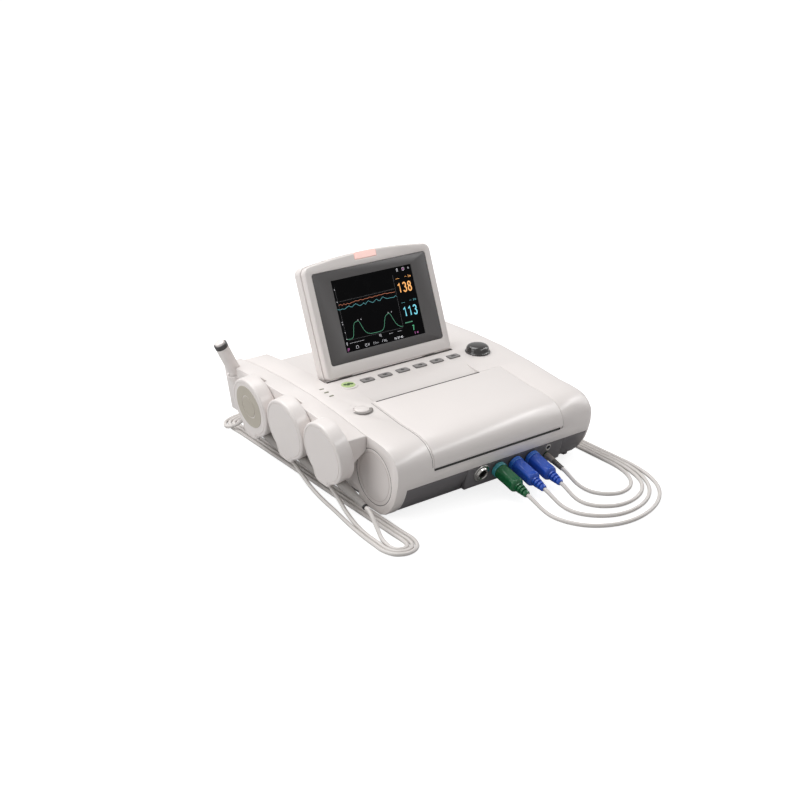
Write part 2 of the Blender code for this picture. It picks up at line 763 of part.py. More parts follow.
def make_bottom_case():
    left = PANEL_LEFT + GAP
    right = BODY_WIDTH - PANEL_RIGHT_MARGIN - GAP
    block = body_block(PANEL_INSET, left, BODY_WIDTH - PANEL_INSET)
    case = add_piece("bottom_case", block, "dark", UNIT)
    rear = BODY_REAR - REAR_EDGE - GAP
    overlap(case, add_tool("tray_limits", box(
        (left, -OVERRUN, BASE), (right, rear, PANEL_HEIGHT - GAP)
    ), UNIT))
    inside = plate(
        inset_outline(body_side(), PANEL_INSET + TRAY_WALL), left + TRAY_WALL, right - TRAY_WALL, FROM_SIDE
    )
    hollow = add_tool("tray_inside", inside, UNIT)
    overlap(hollow, add_tool("tray_inside_limits", box(
        (left, -OVERRUN, BASE + TRAY_FLOOR), (right, rear - TRAY_WALL, NOSE_HEIGHT)
    ), UNIT))
    cut(case, hollow)
    low_wall = box(
        (left + TRAY_WALL, SIDE_RAISE_START, SIDE_RAISE), (BODY_WIDTH, BODY_REAR, NOSE_HEIGHT)
    )
    cut(case, add_tool("low_rear_walls", low_wall, UNIT))
    flange = box(
        (PANEL_INSET, SIDE_RAISE_START + GAP, SIDE_RAISE - GAP - TRAY_WALL),
        (left + TRAY_WALL, rear, SIDE_RAISE - GAP),
    )
    join(case, add_tool("left_flange", flange, UNIT))
    low = BASE + TRAY_WALL / 2
    for i, (x, y) in enumerate(post_places()):
        boss = cylinder((x, y, low), (0, 0, 1), TRAY_FLOOR - TRAY_WALL / 2 + BOSS_HEIGHT, BOSS_RADIUS, segments=16)
        join(case, add_tool(f"case_boss_{i + 1}", boss, UNIT))
    for i, (x, y) in enumerate(foot_places()):
        foot = cylinder((x, y, 0), (0, 0, 1), low, FOOT_RADIUS, segments=20)
        join(case, add_tool(f"foot_{i + 1}", foot, UNIT))
    for i, (x, y) in enumerate(standoff_places()):
        post = cylinder((x, y, low), (0, 0, 1), TRAY_FLOOR - TRAY_WALL / 2 + STANDOFF, BOSS_RADIUS, segments=12)
        join(case, add_tool(f"standoff_{i + 1}", post, UNIT))
    motor_y, motor_z = motor_place()
    cradle_left = bay_right() + BAY_WALL + GEAR_OFFSET + GEAR_WIDTH + GEAR_OFFSET
    for i in range(2):
        x = cradle_left + (MOTOR_LENGTH - CRADLE_WIDTH) * i
        leg = box(
            (x, motor_y - MOTOR_RADIUS / 2, low), (x + CRADLE_WIDTH, motor_y + MOTOR_RADIUS / 2, motor_z)
        )
        join(case, add_tool(f"motor_leg_{i + 1}", leg, UNIT))
    seat = cylinder(
        (cradle_left - GAP, motor_y, motor_z), (1, 0, 0), MOTOR_LENGTH + GAP * 2, MOTOR_RADIUS + GAP, segments=24
    )
    cut(case, add_tool("motor_seat", seat, UNIT))
    connector_seat = box(
        (CONNECTOR_LEFT - GAP, -OVERRUN, CONNECTOR_LOW - GAP),
        (CONNECTOR_RIGHT + GAP, socket_board_front() + SOCKET_BOARD + GAP, PANEL_HEIGHT),
    )
    cut(case, add_tool("connector_seat", connector_seat, UNIT))
    return case


def foot_places():
    return [
        (x, y)
        for x in (FOOT_INSET_X, BODY_WIDTH - FOOT_INSET_X)
        for y in (FOOT_FRONT, BODY_REAR - FOOT_REAR_INSET)
    ]


def standoff_places():
    inset = BOSS_RADIUS * 2
    return [
        (x, y)
        for x in (BOARD_LEFT + inset, BOARD_RIGHT - inset)
        for y in (BOARD_FRONT + inset, BOARD_REAR - inset)
    ]


def make_end_cap():
    """Shallow dished disc, its rim flush with the left end."""
    profile = [
        (0, CAP_THICKNESS - CAP_DISH), (CAP_RADIUS - CAP_RIM * 2, CAP_THICKNESS - CAP_DISH),
        (CAP_RADIUS - CAP_RIM, CAP_THICKNESS), (CAP_RADIUS, CAP_THICKNESS), (CAP_RADIUS, -CAP_DISH),
        (0, -CAP_DISH),
    ]
    depth = CAP_THICKNESS
    cap = add_piece(
        "end_cap", turned_profile(profile), "shell", UNIT, (depth, CAP_Y, CAP_Z), (0, -math.pi / 2, 0)
    )
    turn(cap, 36)


# Recorder

def make_paper_cover():
    pivot = new_empty("paper_cover_pivot", (0, COVER_PIVOT_Y, COVER_PIVOT_Z), parent=UNIT)
    left, right = BAY_LEFT + GAP, bay_right() - GAP
    mesh = plate(body_side(), left, right, FROM_SIDE)
    mesh.transform(Matrix.Translation((0, -COVER_PIVOT_Y, -COVER_PIVOT_Z)))
    cover = add_piece("paper_cover", mesh, "shell", pivot)
    high = NOSE_HEIGHT + TOP_RISE + OVERRUN
    limits = box((left - GAP, -OVERRUN, SLIT_HIGH), (right + GAP, BAY_REAR - GAP, high))
    overlap(cover, add_tool("cover_limits", limits, UNIT))
    inside = plate(inset_outline(body_side(), COVER_WALL), left - OVERRUN, right + OVERRUN, FROM_SIDE)
    cut(cover, add_tool("cover_inside", inside, UNIT))
    for side, x in (("left", left - COVER_PIN_LENGTH), ("right", right - COVER_PIN_ROOT)):
        pin = cylinder(
            (x, COVER_PIVOT_Y, COVER_PIVOT_Z), (1, 0, 0), COVER_PIN_ROOT + COVER_PIN_LENGTH,
            COVER_PIN_RADIUS, segments=12,
        )
        join(cover, add_tool(f"cover_pin_{side}", pin, UNIT))
    return cover


def gear_outline(teeth, phase):
    """Straight-flanked gear teeth, thinned by the backlash, in (Y, Z)."""
    pitch_radius = GEAR_MODULE * teeth / 2
    tip, root = pitch_radius + GEAR_MODULE * 0.8, pitch_radius - GEAR_MODULE * 1.25
    half_tooth = (GEAR_MODULE * math.pi / 2 - GEAR_BACKLASH) / 2 / pitch_radius
    points = []
    for i in range(teeth):
        middle = phase + math.tau * i / teeth
        for radius, share in ((root, -1.5), (tip, -0.55), (tip, 0.55), (root, 1.5)):
            angle = middle + half_tooth * share
            points.append((radius * math.cos(angle), radius * math.sin(angle)))
    return points


def gear_distance():
    return GEAR_MODULE * (PLATEN_TEETH + PINION_TEETH) / 2


def motor_place():
    return (
        PLATEN_Y + gear_distance() * math.cos(PINION_ANGLE),
        PLATEN_Z + gear_distance() * math.sin(PINION_ANGLE),
    )


def make_recorder():
    left, right = BAY_LEFT + GAP, bay_right() - GAP
    tray = box((left, TRAY_FRONT, TRAY_HEIGHT - TRAY_PLATE), (right, BAY_REAR - GAP, TRAY_HEIGHT))
    add_piece("paper_tray", tray, "shade", UNIT)
    paper = box(
        (left + PAPER_MARGIN, TRAY_FRONT + PAPER_MARGIN, TRAY_HEIGHT + GAP),
        (right - PAPER_MARGIN, BAY_REAR - PAPER_MARGIN, TRAY_HEIGHT + GAP + PAPER_HEIGHT),
    )
    add_piece("paper_pack", paper, "paper", UNIT)
    head_top = PLATEN_Z - PLATEN_RADIUS - GAP
    head = box(
        (left, PLATEN_Y - HEAD_FORE, head_top - HEAD_HEIGHT), (right, PLATEN_Y + HEAD_DEPTH, head_top),
    )
    add_piece("print_head", head, "metal", UNIT)
    axis = new_empty("platen_axis", (0, PLATEN_Y, PLATEN_Z), parent=UNIT)
    roller = cylinder(
        (left + HEAD_MARGIN, 0, 0), (1, 0, 0), right - left - HEAD_MARGIN * 2, PLATEN_RADIUS, segments=16
    )
    platen = add_piece("platen_roller", roller, "dark", axis)
    gear_left = bay_right() + BAY_WALL + GEAR_OFFSET
    shaft = cylinder(
        (left - BAY_WALL, PLATEN_Y, PLATEN_Z), (1, 0, 0), gear_left + GEAR_WIDTH / 2 - left + BAY_WALL,
        PLATEN_SHAFT_RADIUS, segments=12,
    )
    gear = plate(gear_outline(PLATEN_TEETH, PINION_ANGLE), gear_left, gear_left + GEAR_WIDTH, FROM_SIDE)
    gear_tool = add_tool("platen_gear", gear, UNIT, (0, PLATEN_Y, PLATEN_Z))
    join(platen, add_tool("platen_shaft", shaft, UNIT), gear_tool)
    motor_y, motor_z = motor_place()
    motor_left = gear_left + GEAR_WIDTH + GEAR_OFFSET
    body = cylinder((motor_left, 0, 0), (1, 0, 0), MOTOR_LENGTH, MOTOR_RADIUS, segments=24)
    add_piece("paper_motor", body, "metal", UNIT, (0, motor_y, motor_z))
    pinion_axis = new_empty("pinion_axis", (0, motor_y, motor_z), parent=UNIT)
    facing = PINION_ANGLE + math.pi + math.pi / PINION_TEETH
    teeth = plate(gear_outline(PINION_TEETH, facing), gear_left, motor_left - GAP, FROM_SIDE)
    add_piece("motor_pinion", teeth, "grey", pinion_axis)


# Screen

def screen_outline(grow):
    """Front outline of the screen housing in (X, height), counter-clockwise."""
    half = SCREEN_WIDTH / 2 + grow
    low = -SCREEN_LOW - grow
    top = SCREEN_CORNER_TOP + grow
    low_radius = SCREEN_LOW_RADIUS
    radius = SCREEN_TOP_RADIUS
    points = arc((half - low_radius, low + low_radius), low_radius, -90, 0, 3)
    points += arc((half - radius, top - radius), radius, 0, 75, 5)
    run = half - radius
    for share in (0.6, 0.3, 0, -0.3, -0.6):
        points.append((run * share, top + SCREEN_ARCH * (1 - share * share)))
    points += arc((-half + radius, top - radius), radius, 105, 180, 5)
    points += arc((-half + low_radius, low + low_radius), low_radius, 180, 270, 3)
    return points


def make_screen():
    """Housing, bezel, LCD and lamp, in a frame that hangs on the hinge pins."""
    pivot = new_empty("screen_pivot", (SCREEN_X, PIVOT_Y, PIVOT_Z), (SCREEN_LEAN, 0, 0), UNIT)
    offset = (0, -PIVOT_BACK, PIVOT_DROP)

    def slab(grow, front, back):
        return plate(screen_outline(grow), -back, -front, FROM_FRONT)

    def panel(width, height, rise, front, back, bevel=0.0):
        return box(
            (-width / 2, front, rise - height / 2), (width / 2, back, rise + height / 2), bevel
        )

    front_shell = add_piece("screen_front_shell", slab(0, 0, SCREEN_FRONT_DEPTH), "shell", pivot, offset)
    hollow = slab(-SCREEN_WALL, SCREEN_WALL, SCREEN_FRONT_DEPTH + OVERRUN)
    window = panel(BEZEL_WIDTH + GAP * 2, BEZEL_HEIGHT + GAP * 2, BEZEL_RISE, -OVERRUN, SCREEN_WALL + OVERRUN / 2)
    cut(
        front_shell, add_tool("front_shell_hollow", hollow, pivot, offset),
        add_tool("bezel_window", window, pivot, offset),
    )
    lamp_top = SCREEN_CORNER_TOP + SCREEN_ARCH
    lamp_low = lamp_top - LAMP_HEIGHT
    lamp_seat = box(
        (LAMP_X - LAMP_WIDTH / 2 - GAP, -OVERRUN, lamp_low - GAP),
        (LAMP_X + LAMP_WIDTH / 2 + GAP, SCREEN_FRONT_DEPTH + OVERRUN, lamp_top + OVERRUN),
    )
    lamp_seat_tool = add_tool("lamp_seat", lamp_seat, pivot, offset)
    cut(front_shell, lamp_seat_tool)
    lamp = add_piece("alarm_lamp", slab(0, 0, SCREEN_FRONT_DEPTH), "glow", pivot, offset)
    overlap(lamp, add_tool("lamp_limits", box(
        (LAMP_X - LAMP_WIDTH / 2, -OVERRUN, lamp_low), (LAMP_X + LAMP_WIDTH / 2, OVERRUN, lamp_top + OVERRUN)
    ), pivot, offset))

    back_front = SCREEN_FRONT_DEPTH + GAP
    rear_shell = add_piece(
        "screen_rear_shell", slab(SCREEN_DRAFT, back_front, SCREEN_DEPTH), "shell", pivot, offset
    )
    rear_hollow = slab(SCREEN_DRAFT - SCREEN_WALL, -OVERRUN, SCREEN_DEPTH - SCREEN_WALL)
    cut(rear_shell, add_tool("rear_shell_hollow", rear_hollow, pivot, offset))
    for side, x in (("left", -HINGE_SPREAD), ("right", HINGE_SPREAD)):
        arm_left = x - HINGE_ARM_WIDTH / 2
        arm = box(
            (arm_left, PIVOT_BACK - HINGE_BARREL, -PIVOT_DROP),
            (arm_left + HINGE_ARM_WIDTH, PIVOT_BACK + HINGE_BARREL, -SCREEN_LOW),
        )
        barrel = cylinder(
            (arm_left, PIVOT_BACK, -PIVOT_DROP), (1, 0, 0), HINGE_ARM_WIDTH, HINGE_BARREL, segments=24
        )
        bore = cylinder(
            (arm_left - GAP, PIVOT_BACK, -PIVOT_DROP), (1, 0, 0), HINGE_ARM_WIDTH + GAP * 2,
            HINGE_PIN_RADIUS + HINGE_PIN_CLEARANCE, segments=24,
        )
        join(
            rear_shell, add_tool(f"hinge_arm_{side}", arm, pivot, offset),
            add_tool(f"hinge_barrel_{side}", barrel, pivot, offset),
        )
        cut(rear_shell, add_tool(f"hinge_bore_{side}", bore, pivot, offset))

    bezel = panel(
        BEZEL_WIDTH, BEZEL_HEIGHT, BEZEL_RISE, BEZEL_RECESS, BEZEL_RECESS + BEZEL_THICKNESS
    )
    bezel_piece = add_piece("screen_bezel", bezel, "bezel", pivot, offset)
    view = panel(LCD_WIDTH + GAP * 2, LCD_HEIGHT + GAP * 2, 0, -OVERRUN, OVERRUN)
    cut(bezel_piece, add_tool("lcd_window", view, pivot, offset))
    module_front = BEZEL_RECESS + BEZEL_THICKNESS + GAP
    face = panel(LCD_WIDTH, LCD_HEIGHT, 0, LCD_RECESS, module_front + GAP)
    lcd = add_piece("lcd_panel", face, "black", pivot, offset)
    module = panel(LCD_FRAME_WIDTH, LCD_FRAME_HEIGHT, 0, module_front, module_front + LCD_FRAME_DEPTH)
    join(lcd, add_tool("lcd_module", module, pivot, offset))


def make_hinge_bracket():
    """Strip on the recess floor with two pairs of cheeks, each pair with its pin."""
    low = RECESS_FLOOR + GAP
    reach = HINGE_ARM_WIDTH / 2 + GAP
    end = HINGE_SPREAD + reach + HINGE_CHEEK
    strip = box(
        (SCREEN_X - end, PIVOT_Y - HINGE_BARREL, low), (SCREEN_X + end, PIVOT_Y + HINGE_BARREL, low + HINGE_STRIP)
    )
    bracket = add_piece("hinge_bracket", strip, "metal", UNIT)
    for side in (-1, 1):
        centre = SCREEN_X + HINGE_SPREAD * side
        for end in (-1, 1):
            x = centre + (reach + HINGE_CHEEK / 2) * end
            cheek = box(
                (x - HINGE_CHEEK / 2, PIVOT_Y - HINGE_BARREL, low),
                (x + HINGE_CHEEK / 2, PIVOT_Y + HINGE_BARREL, PIVOT_Z + HINGE_PIN_RADIUS * 2),
            )
            join(bracket, add_tool(f"hinge_cheek_{side * 2 + end + 4}", cheek, UNIT))
        pin = cylinder(
            (centre - reach - HINGE_CHEEK / 2, PIVOT_Y, PIVOT_Z), (1, 0, 0), reach * 2 + HINGE_CHEEK,
            HINGE_PIN_RADIUS, segments=24,
        )
        join(bracket, add_tool(f"hinge_pin_{side + 2}", pin, UNIT))


# Keys, lights, latch and knob

def make_controls():
    low = key_low()
    for i, x in enumerate(key_places()):
        half_width, half_depth = KEY_WIDTH / 2, KEY_DEPTH / 2
        key = box((-half_width, -half_depth, 0), (half_width, half_depth, KEY_HEIGHT), KEY_BEVEL, 1)
        add_piece(f"key_{i + 1}", key, "key", UNIT, (x, KEY_Y, low))
    dome = [
        (0, KEY_HEIGHT), (START_KEY_RADIUS * 0.7, KEY_HEIGHT), (START_KEY_RADIUS, KEY_HEIGHT - KEY_PROUD),
        (START_KEY_RADIUS, 0), (0, 0),
    ]
    turn(add_piece("start_key", turned_profile(dome), "green", UNIT, (START_KEY_X, KEY_Y, low)))
    latch_top = top_at(LATCH_Y) + LATCH_PROUD
    latch = [
        (0, 0), (LATCH_RADIUS * 0.8, 0), (LATCH_RADIUS, -LATCH_PROUD / 2), (LATCH_RADIUS, -LATCH_HEIGHT),
        (0, -LATCH_HEIGHT),
    ]
    turn(add_piece("latch_button", turned_profile(latch), "shell", UNIT, (LATCH_X, LATCH_Y, latch_top)))
    pipe_top = top_at(LIGHT_Y) - BODY_WALL - GAP
    last_y = LIGHT_Y + LIGHT_PITCH * (LIGHT_COUNT - 1)
    pipe = box(
        (LIGHT_X - LIGHT_LENGTH / 2, LIGHT_Y - LIGHT_WIDTH / 2, pipe_top - LIGHT_PIPE),
        (LIGHT_X + LIGHT_LENGTH / 2, last_y + LIGHT_WIDTH / 2, pipe_top),
    )
    lights = add_piece("status_lights", pipe, "grey", UNIT)
    for i in range(LIGHT_COUNT):
        y = LIGHT_Y + LIGHT_PITCH * i
        tip = box(
            (LIGHT_X - LIGHT_LENGTH / 2, y - LIGHT_WIDTH / 2, pipe_top - LIGHT_PIPE / 2),
            (LIGHT_X + LIGHT_LENGTH / 2, y + LIGHT_WIDTH / 2, top_at(y) + GAP),
        )
        join(lights, add_tool(f"light_tip_{i + 1}", tip, UNIT))
    make_knob()
    board_top = key_board_top()
    board = box(
        (KEY_BOARD_LEFT, KEY_Y - KEY_BOARD_DEPTH / 2, board_top - KEY_BOARD_THICKNESS),
        (KEY_BOARD_RIGHT, KEY_Y + KEY_BOARD_DEPTH / 2, board_top),
    )
    add_piece("key_board", board, "board", UNIT)


def knob_base():
    return top_at(KNOB_Y) + KNOB_LIFT


def make_knob():
    radius, height = KNOB_RADIUS, KNOB_HEIGHT
    profile = [
        (0, height), (radius * 0.45, height * 0.97), (radius * 0.78, height * 0.84), (radius * 0.92, height * 0.6),
        (radius, height * 0.12), (radius * 0.97, 0), (KNOB_SHAFT_RADIUS, 0),
        (KNOB_SHAFT_RADIUS, -KNOB_SHAFT_LENGTH), (0, -KNOB_SHAFT_LENGTH),
    ]
    turn(add_piece(
        "control_knob", turned_profile(profile), "dark", UNIT, (KNOB_X, KNOB_Y, knob_base())
    ), 24)
    encoder_top = knob_base() - KNOB_SHAFT_LENGTH - GAP
    board_top = key_board_top()
    encoder = box(
        (KNOB_X - ENCODER_SIZE / 2, KNOB_Y - ENCODER_SIZE / 2, board_top + GAP),
        (KNOB_X + ENCODER_SIZE / 2, KNOB_Y + ENCODER_SIZE / 2, encoder_top),
    )
    add_piece("knob_encoder", encoder, "metal", UNIT)


# Front connectors

def connector_direction():
    return Vector((0, -math.cos(CONNECTOR_LEAN), -math.sin(CONNECTOR_LEAN)))


def connector_point(x, out, drop=0.0):
    """Point on the connector panel's face, moved out along the plugs and down the face."""
    down = Vector((0, math.sin(CONNECTOR_LEAN), -math.cos(CONNECTOR_LEAN)))
    return Vector((x, CONNECTOR_Y, CONNECTOR_Z)) + connector_direction() * out + down * drop


def sensor_socket_places():
    return [SENSOR_FIRST_X + SENSOR_PITCH * i for i in range(SENSOR_COUNT)]


def make_connector_panel():
    slope = math.tan(CONNECTOR_LEAN)

    def face_y(z):
        return CONNECTOR_Y + (CONNECTOR_Z - z) * slope

    back = CONNECTOR_Y + CONNECTOR_DEPTH - GAP
    outline = [
        (back, CONNECTOR_LOW), (back, CONNECTOR_HIGH),
        (face_y(CONNECTOR_HIGH), CONNECTOR_HIGH), (face_y(CONNECTOR_LOW + CONNECTOR_BEVEL),
                                                   CONNECTOR_LOW + CONNECTOR_BEVEL),
        (face_y(CONNECTOR_LOW) + CONNECTOR_BEVEL, CONNECTOR_LOW),
    ]
    panel = add_piece(
        "connector_panel", plate(outline, CONNECTOR_LEFT, CONNECTOR_RIGHT, FROM_SIDE), "dark", UNIT
    )
    holes = [("service_hole", connector_point(SERVICE_X, 0), SOCKET_RADIUS)]
    for i, x in enumerate(sensor_socket_places()):
        holes.append((f"sensor_hole_{i + 1}", connector_point(x, 0), SENSOR_SOCKET_RADIUS))
    holes.append(("marker_jack_hole", connector_point(JACK_X, 0, JACK_DROP), JACK_RADIUS))
    spare = cylinder(
        connector_point(JACK_HOLE_X, OVERRUN, -JACK_HOLE_RISE), -connector_direction(),
        OVERRUN + JACK_HOLE_DEPTH, JACK_HOLE_RADIUS, segments=12,
    )
    cut(panel, add_tool("spare_jack_hole", spare, UNIT))
    for name, place, radius in holes:
        tool = cylinder(
            place + connector_direction() * OVERRUN, -connector_direction(), OVERRUN * 2, radius + GAP,
            segments=18,
        )
        cut(panel, add_tool(name, tool, UNIT))


def socket_board_front():
    return CONNECTOR_Y + CONNECTOR_DEPTH


def make_sockets():
    rotation = turning(connector_direction()).to_euler()
    bore_end = SOCKET_PROUD - SOCKET_BORE_DEPTH
    service = [
        (0, bore_end), (SOCKET_BORE, bore_end), (SOCKET_BORE, SOCKET_PROUD), (SOCKET_RADIUS, SOCKET_PROUD),
        (SOCKET_FLANGE_RADIUS, SOCKET_PROUD / 2), (SOCKET_FLANGE_RADIUS, GAP), (SOCKET_RADIUS, GAP),
        (SOCKET_RADIUS, -SOCKET_LENGTH), (0, -SOCKET_LENGTH),
    ]
    piece = add_piece(
        "service_socket", turned_profile(service), "metal", UNIT, connector_point(SERVICE_X, 0), rotation
    )
    turn(piece, 24)
    board_y = socket_board_front()
    plate_mesh = box(
        (SENSOR_FIRST_X - PLUG_RADIUS, board_y, CONNECTOR_LOW + CONNECTOR_BEVEL),
        (JACK_X + PLUG_RADIUS, board_y + SOCKET_BOARD, CONNECTOR_HIGH - CONNECTOR_BEVEL),
    )
    board = add_piece("socket_board", plate_mesh, "metal", UNIT)
    for i, x in enumerate(sensor_socket_places()):
        start = connector_point(x, SENSOR_SOCKET_PROUD)
        barrel = cylinder(
            start, -connector_direction(), CONNECTOR_DEPTH + SOCKET_BOARD, SENSOR_SOCKET_RADIUS, segments=18
        )
        join(board, add_tool(f"sensor_socket_{i + 1}", barrel, UNIT))
    jack = cylinder(
        connector_point(JACK_X, GAP, JACK_DROP), -connector_direction(), CONNECTOR_DEPTH + SOCKET_BOARD,
        JACK_RADIUS, segments=12,
    )
    join(board, add_tool("marker_jack", jack, UNIT))


def make_plug(name, look, x):
    """Round plug with a collar at the socket and a tapered relief, along the panel's normal."""
    start = SENSOR_SOCKET_PROUD + GAP
    outer = [
        (0, 0), (PLUG_RING_RADIUS, 0), (PLUG_RING_RADIUS, PLUG_RING), (PLUG_RADIUS, PLUG_RING + GAP),
        (PLUG_RADIUS, PLUG_LENGTH - PLUG_NOSE), (RELIEF_RADIUS + RELIEF_WALL, PLUG_LENGTH),
        (RELIEF_RADIUS, PLUG_LENGTH), (CORD_DIAMETER / 2 + RELIEF_WALL, PLUG_LENGTH + RELIEF_LENGTH),
        (0, PLUG_LENGTH + RELIEF_LENGTH),
    ]
    piece = add_piece(
        name, turned_profile(list(reversed(outer))), look, UNIT, connector_point(x, start),
        turning(connector_direction()).to_euler(),
    )
    turn(piece, 18)
    return connector_point(x, start + PLUG_LENGTH + RELIEF_LENGTH)


def make_jack_plug(name):
    start = GAP * 2
    outer = [
        (0, 0), (JACK_PLUG_RADIUS, 0), (JACK_PLUG_RADIUS, JACK_PLUG_LENGTH),
        (CORD_DIAMETER / 2 + RELIEF_WALL, JACK_PLUG_LENGTH + JACK_RELIEF_LENGTH),
        (0, JACK_PLUG_LENGTH + JACK_RELIEF_LENGTH),
    ]
    piece = add_piece(
        name, turned_profile(list(reversed(outer))), "grey", UNIT, connector_point(JACK_X, start, JACK_DROP),
        turning(connector_direction()).to_euler(),
    )
    turn(piece, 16)
    return connector_point(JACK_X, start + JACK_PLUG_LENGTH + JACK_RELIEF_LENGTH, JACK_DROP)


# Rack, transducers and marker

def sensor_frames():
    """One tilted empty for each place on the rack, front to rear."""
    frames = []
    for i, name in enumerate(("us_1", "us_2", "toco")):
        place = (SENSOR_BACK_X, SENSOR_FIRST_Y + SENSOR_SPACING * i, SENSOR_Z)
        frames.append(new_empty(name + "_place", place, (0, SENSOR_TILT, 0), UNIT))
    return frames


def marker_direction():
    return Vector((math.sin(MARKER_LEAN), 0, math.cos(MARKER_LEAN)))


def marker_point(along):
    return Vector((MARKER_X, MARKER_Y, MARKER_Z)) + marker_direction() * along


def make_rack(frames):
    slope = math.tan(SENSOR_TILT)
    high = NOSE_HEIGHT + TOP_RISE + OVERRUN

    def left_at(z):
        return SENSOR_BACK_X + GAP + (z - SENSOR_Z) * slope

    side = [point for point in body_side() if point[1] > NOSE_HEIGHT - GAP]
    side = sorted((y, z) for y, z in side)
    outline = [(RACK_FRONT, RACK_LOW), (RACK_REAR, RACK_LOW), (RACK_REAR, top_at(RACK_REAR))]
    outline += [(y, z) for y, z in reversed(side) if RACK_FRONT < y < RACK_REAR]
    outline.append((RACK_FRONT, top_at(RACK_FRONT)))
    rack = add_piece("transducer_rack", plate(outline, left_at(high), -GAP, FROM_SIDE), "shell", UNIT)
    front_outline = [(left_at(-OVERRUN), -OVERRUN), (OVERRUN, -OVERRUN), (OVERRUN, high), (left_at(high), high)]
    limits = plate(front_outline, -RACK_REAR - OVERRUN, OVERRUN, FROM_FRONT)
    overlap(rack, add_tool("rack_limits", limits, UNIT))
    sleeve = cylinder(
        marker_point(-HOLDER_LEDGE), marker_direction(), HOLDER_LENGTH, HOLDER_RADIUS, segments=32
    )
    sleeve_tool = add_tool("holder_sleeve", sleeve, UNIT)
    cut(sleeve_tool, add_tool("sleeve_limit", box((-GAP, -OVERRUN, 0), (BODY_WIDTH, BODY_REAR, high)), UNIT))
    join(rack, sleeve_tool)
    cavity = box(
        (left_at(RACK_LOW) + RACK_WALL, RACK_FRONT + RACK_WALL, -OVERRUN),
        (-RACK_WALL, MARKER_Y - CABLE_EXIT_DEPTH, RACK_CAVITY_TOP),
    )
    cut(rack, add_tool("rack_cavity", cavity, UNIT))
    bore = cylinder(marker_point(GAP), marker_direction(), HOLDER_LENGTH + OVERRUN, MARKER_RADIUS + HOLDER_CLEARANCE)
    cable_hole = box(
        (-CABLE_EXIT_WIDTH, MARKER_Y - CABLE_EXIT_WIDTH / 2, -OVERRUN),
        (OVERRUN, MARKER_Y + CABLE_EXIT_WIDTH / 2, MARKER_Z - HOLDER_LEDGE),
    )
    relief_hole = cylinder(
        marker_point(-OVERRUN), marker_direction(), OVERRUN * 2, MARKER_RELIEF_RADIUS + HOLDER_CLEARANCE, segments=16
    )
    cut(
        rack, add_tool("marker_bore", bore, UNIT), add_tool("cable_hole", cable_hole, UNIT),
        add_tool("relief_hole", relief_hole, UNIT),
    )
    for i, frame in enumerate(frames):
        neck_width = BUTTON_NECK_RADIUS + SLOT_CLEARANCE
        head_width = BUTTON_HEAD_RADIUS + SLOT_CLEARANCE
        head_start = BUTTON_NECK_LENGTH - SLOT_CLEARANCE
        head_end = BUTTON_NECK_LENGTH + BUTTON_HEAD_THICKNESS + SLOT_CLEARANCE
        neck = box((-OVERRUN, -neck_width, -SLOT_DROP), (head_start + GAP, neck_width, OVERRUN * 2))
        head = box((head_start, -head_width, -SLOT_DROP), (head_end, head_width, OVERRUN * 2))
        cut(
            rack, add_tool(f"slot_neck_{i + 1}", neck, frame), add_tool(f"slot_head_{i + 1}", head, frame)
        )
    return rack


def sensor_outline():
    """Teardrop outline in (Y, Z): a circle with a chin where the cable leaves."""
    chin = [
        (SENSOR_RADIUS * y_share, SENSOR_RADIUS * z_share)
        for y_share, z_share in zip(CHIN_Y_SHARES, CHIN_Z_SHARES)
    ]
    first = math.degrees(math.atan2(chin[-1][1], chin[-1][0]))
    last = math.degrees(math.atan2(chin[0][1], chin[0][0])) + 360
    return chin[1:-1] + arc((0, 0), SENSOR_RADIUS, first, last, 28)


def make_sensor(name, frame):
    """Disc-shaped transducer, its face towards -X and its back against the rack."""
    outline = sensor_outline()
    mesh = plate(outline, -SENSOR_THICKNESS, -GAP, FROM_SIDE)
    bm = bmesh.new()
    bm.from_mesh(mesh)
    rim = [
        edge for edge in bm.edges
        if all(abs(vert.co.x + SENSOR_THICKNESS) < MERGE for vert in edge.verts)
    ]
    bmesh.ops.bevel(bm, geom=rim, offset=SENSOR_EDGE, segments=1, profile=0.5, affect="EDGES")
    return add_piece(name, finish_mesh(name, bm), "shell", frame)


def exit_direction():
    return Vector((0, -math.cos(EXIT_SLOPE), -math.sin(EXIT_SLOPE)))


def relief_ends(frames):
    """Where each transducer's cable leaves its relief, in the unit's own frame."""
    ends = []
    for frame in frames:
        turn_sensor = Matrix.Rotation(SENSOR_TILT, 4, "Y")
        start = Vector((-SENSOR_THICKNESS / 2, EXIT_Y, EXIT_Z))
        local = start + exit_direction() * (SENSOR_RELIEF_LENGTH + GAP)
        ends.append((Vector(frame.location) + turn_sensor @ local, turn_sensor @ exit_direction()))
    return ends


